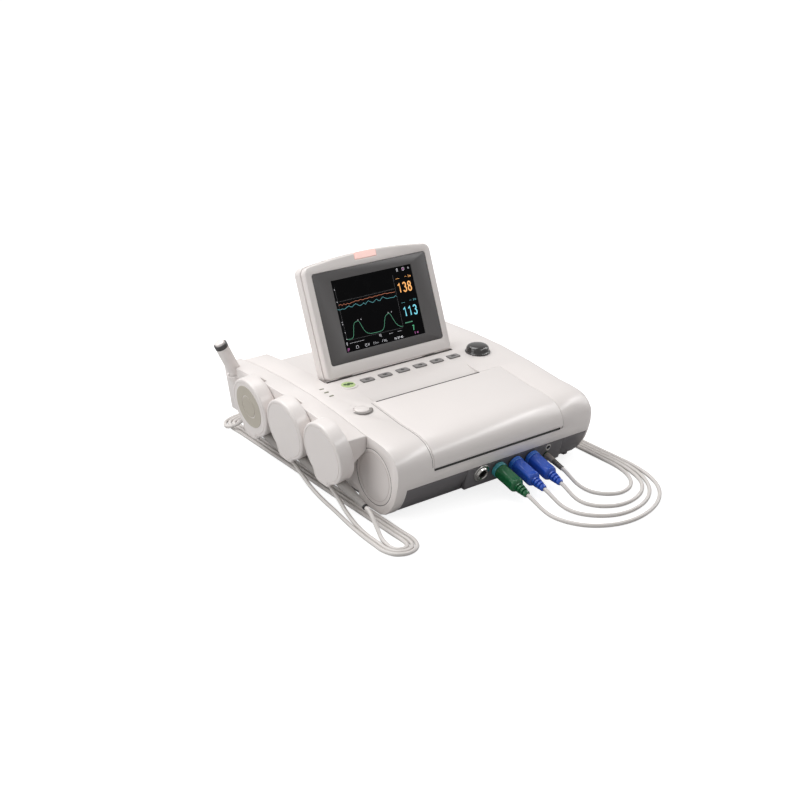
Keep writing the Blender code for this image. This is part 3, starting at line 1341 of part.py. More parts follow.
def make_sensors(frames):
    shells = [make_sensor(name, frame) for name, frame in zip(("us_1_shell", "us_2_shell", "toco_shell"), frames)]
    toco_frame = frames[2]
    seat = cylinder(
        (-SENSOR_THICKNESS + MEMBRANE_THICKNESS, 0, 0), (-1, 0, 0), OVERRUN, MEMBRANE_RADIUS + GAP, segments=28
    )
    cut(shells[2], add_tool("membrane_seat", seat, toco_frame))
    membrane = cylinder(
        (-SENSOR_THICKNESS + MEMBRANE_THICKNESS - GAP, 0, 0), (-1, 0, 0), MEMBRANE_THICKNESS,
        MEMBRANE_RADIUS, segments=28,
    )
    add_piece("toco_membrane", membrane, "beige", toco_frame)
    for shell, frame in zip(shells, frames):
        name = shell.name.replace("_shell", "")
        start = Vector((-SENSOR_THICKNESS / 2, EXIT_Y, EXIT_Z)) + exit_direction() * GAP
        seat = cylinder(start - exit_direction() * GAP, exit_direction(), OVERRUN * 2, SENSOR_RELIEF_WIDE * 2)
        cut(shell, add_tool(f"{name}_relief_seat", seat, frame))
        relief = cylinder(
            start, exit_direction(), SENSOR_RELIEF_LENGTH, SENSOR_RELIEF_WIDE, SENSOR_RELIEF_NARROW, segments=16
        )
        add_piece(f"{name}_relief", relief, "grey", frame)
        neck = cylinder(
            (-SENSOR_THICKNESS / 2, 0, 0), (1, 0, 0), SENSOR_THICKNESS / 2 + BUTTON_NECK_LENGTH + GAP,
            BUTTON_NECK_RADIUS, segments=20,
        )
        head = cylinder(
            (BUTTON_NECK_LENGTH, 0, 0), (1, 0, 0), BUTTON_HEAD_THICKNESS, BUTTON_HEAD_RADIUS, segments=20
        )
        join(
            shell, add_tool(f"{name}_button_neck", neck, frame), add_tool(f"{name}_button_head", head, frame)
        )


def make_marker():
    """Hand-held event marker: relief, barrel and band in one turned handle, and its button."""
    band_top = MARKER_LENGTH + MARKER_BAND
    outer = [
        (0, -MARKER_RELIEF_LENGTH), (CORD_DIAMETER / 2 + RELIEF_WALL, -MARKER_RELIEF_LENGTH),
        (MARKER_RELIEF_RADIUS, GAP), (MARKER_RADIUS * 0.8, GAP * 2), (MARKER_RADIUS, GAP * 2 + RELIEF_WALL),
        (MARKER_RADIUS, band_top), (MARKER_BUTTON_RADIUS + GAP, band_top),
        (MARKER_BUTTON_RADIUS + GAP, band_top - MARKER_BUTTON_DEPTH - KEY_TRAVEL * 2),
        (0, band_top - MARKER_BUTTON_DEPTH - KEY_TRAVEL * 2),
    ]
    axis = new_empty("marker_axis", marker_point(0), (0, MARKER_LEAN, 0), UNIT)
    turn(add_piece("marker_handle", turned_profile(list(reversed(outer))), "shell", axis), 24)
    button_top = MARKER_BUTTON_DEPTH + MARKER_BUTTON_PROUD
    dome = [
        (0, button_top), (MARKER_BUTTON_RADIUS * 0.6, button_top - RELIEF_WALL),
        (MARKER_BUTTON_RADIUS, button_top - MARKER_BUTTON_PROUD / 2), (MARKER_BUTTON_RADIUS, 0), (0, 0),
    ]
    turn(add_piece(
        "marker_button", turned_profile(dome), "shell", axis, (0, 0, band_top - MARKER_BUTTON_DEPTH)
    ), 20)


# Electronics

def make_electronics():
    low = BASE + TRAY_FLOOR + STANDOFF + GAP
    board = box((BOARD_LEFT, BOARD_FRONT, low), (BOARD_RIGHT, BOARD_REAR, low + BOARD_THICKNESS))
    add_piece("main_board", board, "board", UNIT)
    speaker_low = BASE + TRAY_FLOOR + GAP
    speaker = [
        (0, SPEAKER_HEIGHT * 0.7), (SPEAKER_RADIUS * 0.85, SPEAKER_HEIGHT), (SPEAKER_RADIUS, SPEAKER_HEIGHT),
        (SPEAKER_RADIUS, SPEAKER_HEIGHT * 0.8), (SPEAKER_RADIUS * 0.5, 0), (0, 0),
    ]
    turn(add_piece(
        "speaker", turned_profile(speaker), "dark", UNIT, (SPEAKER_X, SPEAKER_Y, speaker_low)
    ), 24)
    inlet = [
        (0, 0), (INLET_PIN, 0), (INLET_PIN, -INLET_SOCKET_DEPTH), (INLET_BORE, -INLET_SOCKET_DEPTH),
        (INLET_BORE, 0), (INLET_RADIUS, 0), (INLET_RADIUS, -INLET_DEPTH), (0, -INLET_DEPTH),
    ]
    turn(add_piece(
        "power_inlet", turned_profile(inlet), "dark", UNIT, (INLET_X, BODY_REAR, INLET_Z), (-math.pi / 2, 0, 0)
    ), 20)


# Cords: routes are lists of points from the transducer or marker to its coil, and from there to its plug

CORD_ROUTES = {
    "us_1": (
        [
            (-0.0262, -0.0020, 0.0185), (-0.0285, -0.0140, 0.0110), (-0.0310, -0.0260, 0.0045),
            (-0.0320, -0.0360, 0.0026), (-0.0320, -0.0440, 0.0024), (-0.0294, -0.0504, 0.0024),
            (-0.0230, -0.0530, 0.0024), (-0.0166, -0.0504, 0.0024), (-0.0140, -0.0440, 0.0024),
            (-0.0140, -0.0200, 0.0024), (-0.0140, 0.0600, 0.0024), (-0.0140, 0.1800, 0.0024),
            (-0.0140, 0.2900, 0.0024), (-0.0140, 0.3140, 0.0024), (-0.0081, 0.3281, 0.0024),
            (0.0060, 0.3340, 0.0024), (0.0300, 0.3340, 0.0024), (0.0800, 0.3340, 0.0024),
            (0.1150, 0.3345, 0.0024), (0.1400, 0.3385, 0.0024),
        ],
        [
            (0.1860, 0.3405, 0.0076), (0.2050, 0.3360, 0.0076), (0.2250, 0.3340, 0.0076),
            (0.2620, 0.3340, 0.0078), (0.2780, 0.3325, 0.0080), (0.2890, 0.3265, 0.0080),
            (0.2935, 0.3140, 0.0070), (0.2938, 0.2980, 0.0034), (0.2932, 0.2800, 0.0024),
            (0.2932, 0.2000, 0.0024), (0.2932, 0.0800, 0.0024), (0.2932, 0.0100, 0.0024),
            (0.2936, -0.0150, 0.0024), (0.2940, -0.0400, 0.0024), (0.2905, -0.0660, 0.0024),
            (0.2815, -0.0890, 0.0024), (0.2650, -0.1060, 0.0024), (0.2440, -0.1150, 0.0024),
            (0.2230, -0.1155, 0.0024), (0.2060, -0.1075, 0.0024), (0.1950, -0.0940, 0.0026),
            (0.1902, -0.0800, 0.0052),
        ],
    ),
    "us_2": (
        [
            (-0.0258, 0.0740, 0.0195), (-0.0275, 0.0580, 0.0135), (-0.0305, 0.0400, 0.0075),
            (-0.0340, 0.0180, 0.0036), (-0.0365, -0.0040, 0.0025), (-0.0372, -0.0280, 0.0024),
            (-0.0372, -0.0440, 0.0024), (-0.0330, -0.0540, 0.0024), (-0.0230, -0.0582, 0.0024),
            (-0.0130, -0.0540, 0.0024), (-0.0088, -0.0440, 0.0024), (-0.0088, -0.0200, 0.0024),
            (-0.0088, 0.0600, 0.0024), (-0.0088, 0.1800, 0.0024), (-0.0088, 0.2950, 0.0024),
            (-0.0088, 0.3140, 0.0024), (-0.0045, 0.3245, 0.0024), (0.0060, 0.3288, 0.0024),
            (0.0300, 0.3288, 0.0024), (0.1200, 0.3288, 0.0024), (0.1900, 0.3292, 0.0024),
            (0.2180, 0.3375, 0.0024),
        ],
        [
            (0.2620, 0.3408, 0.0078), (0.2800, 0.3380, 0.0080), (0.2930, 0.3310, 0.0080),
            (0.2988, 0.3180, 0.0076), (0.2992, 0.3000, 0.0036), (0.2984, 0.2800, 0.0024),
            (0.2984, 0.2000, 0.0024), (0.2984, 0.0800, 0.0024), (0.2984, 0.0000, 0.0024),
            (0.2992, -0.0300, 0.0024), (0.2980, -0.0580, 0.0024), (0.2905, -0.0850, 0.0024),
            (0.2755, -0.1080, 0.0024), (0.2540, -0.1240, 0.0024), (0.2290, -0.1315, 0.0024),
            (0.2050, -0.1300, 0.0024), (0.1850, -0.1190, 0.0024), (0.1720, -0.1020, 0.0025),
            (0.1665, -0.0840, 0.0048),
        ],
    ),
    "toco": (
        [
            (-0.0258, 0.1480, 0.0190), (-0.0272, 0.1300, 0.0125), (-0.0290, 0.1080, 0.0062),
            (-0.0310, 0.0840, 0.0030), (-0.0340, 0.0560, 0.0024), (-0.0385, 0.0240, 0.0024),
            (-0.0415, -0.0060, 0.0024), (-0.0424, -0.0300, 0.0024), (-0.0424, -0.0440, 0.0024),
            (-0.0367, -0.0577, 0.0024), (-0.0230, -0.0634, 0.0024), (-0.0093, -0.0577, 0.0024),
            (-0.0036, -0.0440, 0.0024), (-0.0036, -0.0200, 0.0024), (-0.0036, 0.0600, 0.0024),
            (-0.0036, 0.2000, 0.0024), (-0.0036, 0.3000, 0.0024), (-0.0036, 0.3140, 0.0024),
            (-0.0008, 0.3208, 0.0024), (0.0060, 0.3236, 0.0024), (0.0250, 0.3236, 0.0024),
            (0.1400, 0.3236, 0.0024), (0.2500, 0.3236, 0.0024), (0.2750, 0.3236, 0.0024),
            (0.2900, 0.3215, 0.0024), (0.3020, 0.3145, 0.0024), (0.3085, 0.3030, 0.0024),
            (0.3100, 0.2870, 0.0024), (0.3100, 0.2720, 0.0024),
        ],
        [
            (0.3120, 0.2340, 0.0074), (0.3085, 0.2180, 0.0050), (0.3045, 0.1980, 0.0028),
            (0.3036, 0.1800, 0.0024), (0.3036, 0.0800, 0.0024), (0.3036, 0.0000, 0.0024),
            (0.3044, -0.0300, 0.0024), (0.3042, -0.0560, 0.0024), (0.2990, -0.0850, 0.0024),
            (0.2865, -0.1110, 0.0024), (0.2650, -0.1315, 0.0024), (0.2380, -0.1440, 0.0024),
            (0.2090, -0.1480, 0.0024), (0.1830, -0.1425, 0.0024), (0.1610, -0.1280, 0.0024),
            (0.1480, -0.1070, 0.0025), (0.1426, -0.0870, 0.0044),
        ],
    ),
    "marker": (
        [
            (-0.0040, 0.2846, 0.0400), (-0.0052, 0.2862, 0.0310), (-0.0090, 0.2905, 0.0205),
            (-0.0145, 0.2990, 0.0115), (-0.0188, 0.3095, 0.0055), (-0.0186, 0.3205, 0.0026),
            (-0.0118, 0.3318, 0.0024), (0.0060, 0.3392, 0.0024), (0.0350, 0.3392, 0.0024),
            (0.0650, 0.3392, 0.0024),
        ],
        [
            (0.1100, 0.3405, 0.0076), (0.1300, 0.3352, 0.0076), (0.1500, 0.3340, 0.0076),
            (0.1900, 0.3330, 0.0076), (0.2150, 0.3295, 0.0076), (0.2350, 0.3288, 0.0076),
            (0.2580, 0.3285, 0.0078), (0.2720, 0.3270, 0.0080), (0.2830, 0.3215, 0.0080),
            (0.2885, 0.3100, 0.0062), (0.2888, 0.2960, 0.0030), (0.2880, 0.2800, 0.0024),
            (0.2880, 0.2000, 0.0024), (0.2880, 0.0800, 0.0024), (0.2880, 0.0000, 0.0024),
            (0.2880, -0.0200, 0.0024), (0.2875, -0.0440, 0.0024), (0.2825, -0.0660, 0.0024),
            (0.2720, -0.0830, 0.0024), (0.2580, -0.0930, 0.0024), (0.2420, -0.0950, 0.0024),
            (0.2270, -0.0870, 0.0024), (0.2180, -0.0730, 0.0028), (0.2144, -0.0580, 0.0058),
        ],
    ),
}


def smooth_curve(points):
    """Dense points on a Catmull-Rom curve through the route's points."""
    padded = [points[0] * 2 - points[1]] + points + [points[-1] * 2 - points[-2]]
    dense = []
    for p0, p1, p2, p3 in zip(padded, padded[1:], padded[2:], padded[3:]):
        span = (p2 - p1).length
        into = (p2 - p0) * span / ((p1 - p0).length + span)
        out = (p3 - p1) * span / (span + (p3 - p2).length)
        steps = max(2, math.ceil(span / CORD_STEP))
        for i in range(steps):
            t = i / steps
            dense.append(
                p1 * (2 * t**3 - 3 * t**2 + 1) + into * (t**3 - 2 * t**2 + t)
                + p2 * (3 * t**2 - 2 * t**3) + out * (t**3 - t**2)
            )
    return dense + [points[-1]]


def thin_out(points):
    """Keeps a point every few diameters on bends, and fewer where the cord runs straight."""
    kept = [points[0]]
    start = 0
    for i in range(2, len(points)):
        chord = points[i] - points[start]
        direction = chord.normalized()
        worst = max(
            ((point - points[start]) - direction * (point - points[start]).dot(direction)).length
            for point in points[start + 1:i]
        )
        if worst > CORD_TOLERANCE:
            kept.append(points[i - 1])
            start = i - 1
    return kept + [points[-1]]


def add_tube(name, points, resolution):
    curve = bpy.data.curves.new(name, "CURVE")
    curve.dimensions = "3D"
    curve.bevel_depth = CORD_DIAMETER / 2
    curve.bevel_resolution = resolution
    curve.use_fill_caps = True
    spline = curve.splines.new("POLY")
    spline.points.add(len(points) - 1)
    for point, place in zip(spline.points, points):
        point.co = (*place, 1)
    return add_piece(name, curve, "cord", UNIT)


def coil_points(end_x, end_y, start_angle, turns):
    """Loops that run in on the lower layer and out on the upper one, both ends one above the other."""
    outer = COIL_MID_RADIUS + COIL_PITCH * turns / 4
    start = math.radians(start_angle)
    centre = Vector((end_x, end_y, 0)) - Vector((math.cos(start), math.sin(start), 0)) * outer
    points = []
    for i in range(turns * COIL_STEPS + 1):
        done = i / COIL_STEPS
        climb = min(max((done - turns / 2) * 2 + 0.5, 0), 1)
        radius = outer - COIL_PITCH * min(done, turns - done)
        angle = start + math.tau * done
        height = FLOOR_LEVEL + COIL_PITCH * (3 * climb**2 - 2 * climb**3)
        points.append(centre + Vector((radius * math.cos(angle), radius * math.sin(angle), height)))
    heading = Vector((-math.sin(start), math.cos(start), 0))
    return [points[0] - heading * CORD_DIAMETER] + points + [points[-1] + heading * CORD_DIAMETER], heading


def least_self_gap(points):
    """Smallest distance between surfaces of a coil's loops, measured on its points."""
    least = math.inf
    for i, point in enumerate(points):
        for other in points[i + COIL_STEPS // 2:]:
            least = min(least, (point - other).length - CORD_DIAMETER)
    return least


def make_cord(name, start, start_heading, end, end_heading):
    """Stretch from the device's piece to the coil, the coil, and the stretch to the plug."""
    coil, heading = coil_points(*COIL_ENDS[name], COIL_TURNS[name])
    add_tube(f"{name}_coil", coil, 1)
    print(f"{name} coil: least gap to itself {least_self_gap(coil) * 1000:.2f} mm")
    to_coil, to_plug = CORD_ROUTES[name]
    lead = CORD_DIAMETER
    first = [start + start_heading * GAP, start + start_heading * (GAP + lead)]
    first += [Vector(point) for point in to_coil]
    first += [coil[0] - heading * (GAP + lead), coil[0] - heading * GAP]
    second = [coil[-1] + heading * GAP, coil[-1] + heading * (GAP + lead)]
    second += [Vector(point) for point in to_plug]
    second += [end + end_heading * (GAP + lead), end + end_heading * GAP]
    length = sum((b - a).length for a, b in zip(coil, coil[1:]))
    for part, route in (("lead", first), ("tail", second)):
        points = smooth_curve(route)
        length += sum((b - a).length for a, b in zip(points, points[1:]))
        add_tube(f"{name}_{part}", thin_out(points), 2)
    print(f"{name} cord: {length:.3f} m long")


def make_cords(frames, plug_ends):
    sensor_ends = relief_ends(frames)
    starts = dict(zip(("us_1", "us_2", "toco"), sensor_ends))
    down = -marker_direction()
    starts["marker"] = (marker_point(-MARKER_RELIEF_LENGTH), down)
    for name, (start, heading) in starts.items():
        make_cord(name, start, heading, plug_ends[name], connector_direction())


# Assembly

def unit_left():
    """Furthest point of the device to the left: the upper rim of the marker in its holder."""
    along = MARKER_LENGTH + MARKER_BAND
    return MARKER_X + along * math.sin(MARKER_LEAN) - MARKER_RADIUS * math.cos(MARKER_LEAN)


def build():
    make_top_case()
    make_bottom_case()
    make_end_cap()
    make_paper_cover()
    make_recorder()
    make_screen()
    make_hinge_bracket()
    make_controls()
    make_connector_panel()
    make_sockets()
    plug_ends = {
        "toco": make_plug("toco_plug", "plug_green", sensor_socket_places()[0]),
        "us_2": make_plug("us_2_plug", "blue", sensor_socket_places()[1]),
        "us_1": make_plug("us_1_plug", "blue", sensor_socket_places()[2]),
        "marker": make_jack_plug("marker_plug"),
    }
    frames = sensor_frames()
    make_rack(frames)
    make_sensors(frames)
    make_marker()
    make_electronics()
    make_cords(frames, plug_ends)


clear_scene()
PIECES = new_collection("cardiotocograph")
TOOLS = new_collection("cutters")
UNIT = new_empty("unit_origin", (-(unit_left() + BODY_WIDTH) / 2, -(BODY_REAR - NOSE_OVERHANG) / 2, 0))
build()
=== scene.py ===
from math import atan2, ceil, cos, radians, sin, tau

import bmesh
import bpy
from mathutils import Matrix, Vector


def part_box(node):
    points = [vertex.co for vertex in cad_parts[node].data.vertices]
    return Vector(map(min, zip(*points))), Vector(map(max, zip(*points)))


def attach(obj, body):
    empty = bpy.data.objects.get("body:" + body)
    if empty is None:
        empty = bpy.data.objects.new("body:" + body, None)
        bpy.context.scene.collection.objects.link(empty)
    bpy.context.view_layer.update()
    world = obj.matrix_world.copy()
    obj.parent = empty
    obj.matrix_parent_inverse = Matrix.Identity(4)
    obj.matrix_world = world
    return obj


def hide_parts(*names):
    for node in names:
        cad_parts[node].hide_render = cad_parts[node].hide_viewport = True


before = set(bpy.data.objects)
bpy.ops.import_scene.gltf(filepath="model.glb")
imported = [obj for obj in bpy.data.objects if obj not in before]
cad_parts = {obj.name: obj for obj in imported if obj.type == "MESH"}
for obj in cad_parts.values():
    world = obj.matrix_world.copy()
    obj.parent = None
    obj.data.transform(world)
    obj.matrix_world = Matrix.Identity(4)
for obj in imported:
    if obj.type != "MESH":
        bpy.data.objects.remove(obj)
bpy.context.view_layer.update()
bpy.ops.object.select_all(action="DESELECT")

# Places are measured from the body's left end, from the front datum and from the table
LEFT_END, FRONT_DATUM = -0.116411, -0.1528
CORD_DIAMETER = 0.0045
ON_TABLE = 2.4  # height in mm of a cord's middle line where it lies on the table
move = Matrix.Translation


def at(x, y, z):
    """World point of a place on the device given in millimetres."""
    return Vector((LEFT_END + x / 1000, FRONT_DATUM + y / 1000, z / 1000))


def along(x, y, z, turn, axis):
    """Frame at a place on the device, turned by degrees about one axis."""
    return move(at(x, y, z)) @ Matrix.Rotation(radians(turn), 4, axis)


def new_object(name, data):
    """Object that shows the data, linked to the scene."""
    made = bpy.data.objects.new(name, data)
    bpy.context.scene.collection.objects.link(made)
    return made


SCREEN = along(123.3, 173.6, 86, -21.5, "X") @ move((0, 0, 0.0778))
SOCKETS = along(0, -6.2, 27.5, 104, "X")
MARKER = along(-9.2, 284, 60, -24.6, "Y")
TRANSDUCERS = {
    name: along(-22, y, 67.8, -7.4, "Y") for name, y in (("us_1", 71), ("us_2", 146.5), ("toco", 222))
}


# Camera

CAMERA_PLACE, LOOKS_DOWN, TURNED_RIGHT = (-0.82151, -1.1247, 0.6543), 23.1, 36.4

lens = bpy.data.cameras.new("camera")
lens.lens, lens.sensor_width = 58.05, 36
lens.clip_start, lens.clip_end = 0.05, 60
camera = new_object("camera", lens)
camera.location = CAMERA_PLACE
camera.rotation_euler = (radians(90 - LOOKS_DOWN), 0, radians(-TURNED_RIGHT))
bpy.context.scene.camera = camera
bpy.context.scene.view_settings.view_transform = "Standard"


# Materials

def new_material(name, colour, roughness, **shader):
    """Principled material whose own sockets hold the values that are the same all over."""
    material = bpy.data.materials.new(name)
    material.use_nodes = True
    principled = material.node_tree.nodes["Principled BSDF"]
    principled.inputs["Base Color"].default_value = (*colour, 1)
    principled.inputs["Roughness"].default_value = roughness
    for socket, value in shader.items():
        principled.inputs[socket.replace("_", " ")].default_value = value
    material.diffuse_color = (*colour, 1)
    return material


def add_node(owner, kind, inputs=(), **settings):
    """Node of a material or of the world, with values or outputs on its sockets."""
    node = owner.node_tree.nodes.new(kind)
    for key, value in settings.items():
        setattr(node, key, value)
    for socket, value in dict(inputs).items():
        if isinstance(value, bpy.types.NodeSocket):
            owner.node_tree.links.new(value, node.inputs[socket])
        else:
            node.inputs[socket].default_value = value
    return node


def surface_noise(material, scale, detail, stretch=(1, 1, 1)):
    place = add_node(material, "ShaderNodeTexCoord").outputs["Object"]
    mapped = add_node(material, "ShaderNodeMapping", {"Vector": place, "Scale": stretch}).outputs[0]
    return add_node(
        material, "ShaderNodeTexNoise", {"Vector": mapped, "Scale": scale, "Detail": detail}
    ).outputs["Fac"]


def tint(material, scale, detail, stops, socket="Base Color"):
    """Change of colour over the surface between two stops, each a position and a colour."""
    ramp = add_node(material, "ShaderNodeValToRGB", {"Fac": surface_noise(material, scale, detail)})
    for element, (position, colour) in zip(ramp.color_ramp.elements, stops):
        element.position, element.color = position, (*colour, 1)
    link(material, ramp.outputs["Color"], socket)


def link(material, output, socket):
    material.node_tree.links.new(output, material.node_tree.nodes["Principled BSDF"].inputs[socket])


def vary_roughness(material, scale, low, high, stretch=(1, 1, 1)):
    spread = add_node(material, "ShaderNodeMapRange", {
        "Value": surface_noise(material, scale, 4, stretch), "From Min": 0.3, "From Max": 0.7,
        "To Min": low, "To Max": high,
    })
    link(material, spread.outputs["Result"], "Roughness")


def grain(material, scale, strength, distance=0.0001, stretch=(1, 1, 1)):
    bump = add_node(material, "ShaderNodeBump", {
        "Height": surface_noise(material, scale, 2, stretch), "Strength": strength,
        "Distance": distance,
    })
    link(material, bump.outputs["Normal"], "Normal")


def moulded(name, colour, roughness, texture=0.12, scale=1700, change=0.015, **shader):
    """Injection-moulded plastic: fine spark grain, slight flow marks, uneven sheen."""
    material = new_material(name, colour, roughness, **shader)
    tint(material, 14, 3, ((0.35, colour), (0.65, [c * (1 - change) for c in colour])))
    vary_roughness(material, 60, roughness - 0.006, roughness + 0.008)
    grain(material, scale, texture)
    return material


def brushed(name, colour, roughness, stretch):
    material = new_material(name, colour, roughness, Metallic=1)
    vary_roughness(material, 700, roughness - 0.05, roughness + 0.12, stretch)
    grain(material, 900, 0.08, 0.00005, stretch)
    return material


def glow(name, colour, strength):
    """Lit dots of a display, in streaks too fine to see one by one."""
    material = new_material(name, tuple(c * 0.2 for c in colour), 0.4, Emission_Strength=strength)
    tint(material, 1300, 2, ((0.3, [c * 0.75 for c in colour]), (0.6, colour)), "Emission Color")
    return material


SHELL = moulded("off_white_shell", (0.805, 0.757, 0.734), 0.28)
SHELL_SMOOTH = moulded("off_white_smooth", (0.805, 0.757, 0.734), 0.28, 0.08)
# Darker copy of the shell colour, for painted shade in seams, at a step and in an engraved mark
SHADE = moulded("warm_grey_painted_shade", (0.66, 0.6, 0.58), 0.4)
LOWER = moulded("dark_grey_tray", (0.15, 0.14, 0.147), 0.3, 0.15, 1500)
PANEL_GREY = moulded("dark_grey_panel", (0.155, 0.146, 0.152), 0.28, 0.15, 1500)
BEZEL = moulded("grey_bezel", (0.082, 0.077, 0.077), 0.42, 0.2, 2200)
KEY_GREY = moulded("grey_keys", (0.29, 0.274, 0.268), 0.5, 0.2, 2000)
KEY_MARK = moulded("dark_print", (0.045, 0.042, 0.042), 0.6)
# Dark ring round each key: painted shadow of the gap round the key
KEY_GAP_SHADOW = moulded("key_surround", (0.12, 0.112, 0.108), 0.6, 0.2, 2000)
START_GREEN = moulded("light_green_key", (0.52, 0.66, 0.3), 0.42)
START_MARK = moulded("dark_green_print", (0.045, 0.1, 0.03), 0.6)
KNOB = moulded(
    "gloss_grey_knob", (0.034, 0.031, 0.03), 0.14, 0.03, 1700, 0.05,
    Coat_Weight=0.4, Coat_Roughness=0.06,
)
LENS = moulded("status_lens", (0.26, 0.27, 0.19), 0.3, 0.04)
LAMP = moulded(
    "pink_lamp", (0.95, 0.66, 0.61), 0.28, 0.05, 900, 0.04,
    Emission_Color=(1, 0.66, 0.6, 1), Emission_Strength=0.4,
)
MEMBRANE = moulded("beige_membrane", (0.5, 0.46, 0.39), 0.55, 0.35, 1100)
# Darker ring in the sensing disc's groove: painted shade of the groove
MEMBRANE_GROOVE_SHADE = moulded("painted_groove_shade", (0.3, 0.27, 0.22), 0.6)
RELIEF = moulded("taupe_rubber", (0.3, 0.28, 0.265), 0.5, 0.3, 1200)
BLACK_RUBBER = moulded("black_rubber", (0.018, 0.018, 0.018), 0.55, 0.3, 1200)
BAND = moulded("dark_band", (0.06, 0.055, 0.055), 0.35)
GREEN_PLUG = moulded("green_plug", (0.006, 0.125, 0.04), 0.26, 0.12, 1500, 0.15)
TEAL = moulded("teal_collar", (0.04, 0.3, 0.34), 0.22, 0.05, 1500, 0.1, Coat_Weight=0.5)
BLUE_PLUG = moulded("blue_plug", (0.02, 0.095, 0.54), 0.26, 0.12, 1500, 0.12)
SKY = moulded("sky_collar", (0.03, 0.17, 0.66), 0.2, 0.05, 1500, 0.1, Coat_Weight=0.5)
JACK_GREY = moulded("taupe_jack", (0.29, 0.26, 0.235), 0.34)
JACK_BOOT = moulded("brown_grey_boot", (0.13, 0.12, 0.11), 0.4, 0.2)
CABLE = moulded("light_grey_cable", (0.68, 0.645, 0.62), 0.33, 0.1, 1300)
CABLE_TIE = moulded("dark_tie", (0.03, 0.03, 0.032), 0.8, 0.6, 900)
CHROME = brushed("bright_metal", (0.56, 0.54, 0.52), 0.2, (1, 1, 1))
STEEL = brushed("plain_steel", (0.55, 0.54, 0.53), 0.32, (0.05, 1, 1))
BORE = new_material("bore_black", (0.008, 0.008, 0.008), 0.6)
BOARD = moulded("green_board", (0.012, 0.1, 0.035), 0.4, 0.3, 700, 0.3)
WHITE_MARK = glow("white_dots", (0.8, 0.8, 0.84), 0.75)
ORANGE_DIGITS = glow("orange_dots", (1, 0.46, 0.13), 1.05)
CYAN_DIGITS = glow("cyan_dots", (0.2, 0.72, 0.86), 0.95)
GREEN_DIGITS = glow("green_dots", (0.1, 0.58, 0.28), 0.8)
RED_TRACE = glow("red_trace", (0.62, 0.2, 0.1), 0.75)
CYAN_TRACE = glow("cyan_trace", (0.12, 0.46, 0.5), 0.7)
GREEN_TRACE = glow("green_trace", (0.1, 0.42, 0.24), 0.7)
MAGENTA_MARK = glow("magenta_dots", (0.62, 0.16, 0.5), 0.7)
GREY_LINE = glow("grey_line", (0.2, 0.2, 0.21), 0.5)


def make_paper():
    """Folded chart paper: leaf edges seen from the side and a faint printed grid on top."""
    material = new_material("chart_paper", (0.8, 0.79, 0.74), 0.85)
    place = add_node(material, "ShaderNodeTexCoord").outputs["Object"]
    grid = add_node(material, "ShaderNodeTexBrick", {
        "Vector": place, "Scale": 100, "Mortar Size": 0.03, "Mortar Smooth": 0.2, "Brick Width": 1,
        "Row Height": 1, "Color1": (0.8, 0.79, 0.74, 1), "Color2": (0.79, 0.78, 0.73, 1),
        "Mortar": (0.72, 0.42, 0.38, 1),
    }, offset=0)
    leaves = add_node(material, "ShaderNodeTexWave", {
        "Vector": place, "Scale": 420, "Distortion": 0.4, "Detail": 2,
    }, bands_direction="Z")
    bump = add_node(material, "ShaderNodeBump", {
        "Height": leaves.outputs["Fac"], "Strength": 0.5, "Distance": 0.0003,
    })
    link(material, grid.outputs["Color"], "Base Color")
    link(material, bump.outputs["Normal"], "Normal")
    return material


GLASS = new_material("display_glass", (0.0025, 0.0025, 0.003), 0.24, Specular_IOR_Level=0.04)
vary_roughness(GLASS, 90, 0.2, 0.3)
PAPER = make_paper()


# Studio: the room's light on the device, what of the room mirrors in it, and how far the
# floor is lifted towards white where the camera sees it
ROOM_LIGHT, MIRRORED_ROOM, FLOOR_LIFT = 0.44, 0.3, 0.82


def scaled(owner, value, share, operation="MULTIPLY"):
    """Output of a node that works on two values."""
    return add_node(owner, "ShaderNodeMath", {0: value, 1: share}, operation=operation).outputs[0]


def make_studio():
    world = bpy.data.worlds.new("studio")
    bpy.context.scene.world = world
    world.use_nodes = True
    background = world.node_tree.nodes["Background"]
    background.inputs["Color"].default_value = (1, 1, 1, 1)
    rays = add_node(world, "ShaderNodeLightPath").outputs
    mirrored = scaled(world, rays["Is Glossy Ray"], MIRRORED_ROOM)
    seen = scaled(world, rays["Is Camera Ray"], mirrored, "MAXIMUM")
    strength = add_node(
        world, "ShaderNodeMapRange", {"To Min": ROOM_LIGHT, "To Max": 1, "Value": seen}
    ).outputs["Result"]
    world.node_tree.links.new(strength, background.inputs["Strength"])

    bpy.ops.mesh.primitive_plane_add(size=24, location=(0, 0, 0))
    floor = bpy.context.object
    floor.name = "floor"
    white = new_material("white_floor", (0.48, 0.48, 0.48), 0.9)
    rays = add_node(white, "ShaderNodeLightPath").outputs
    lift = scaled(white, rays["Is Camera Ray"], FLOOR_LIFT)
    emission = add_node(white, "ShaderNodeEmission", {"Strength": lift}).outputs[0]
    nodes = white.node_tree.nodes
    both = add_node(white, "ShaderNodeAddShader", {0: nodes["Principled BSDF"].outputs[0], 1: emission})
    white.node_tree.links.new(both.outputs[0], nodes["Material Output"].inputs["Surface"])
    floor.data.materials.append(white)
    for name, place, size, power in (
        ("overhead", (-0.25, 0.7, 1.6), (1.4, 1.4), 24),
        ("left_fill", (-1.6, 0.15, 0.8), (1.2, 1.2), 7.6),
        ("right_fill", (1.6, -0.3, 0.8), (0.9, 0.9), 6.5),
        ("nose_strip", (0.75, -0.72, 1.15), (1.9, 0.14), 10),
    ):
        data = bpy.data.lights.new(name, "AREA")
        data.shape = "RECTANGLE"
        data.energy, data.size, data.size_y = power, *size
        lamp = new_object(name, data)
        lamp.location = place
        aim = Vector((0.02, 0, 0.07)) - lamp.location
        lamp.rotation_euler = aim.to_track_quat("-Z", "Y").to_euler()
        lamp.visible_diffuse = name != "nose_strip"


make_studio()
bpy.ops.object.select_all(action="DESELECT")


# Curves

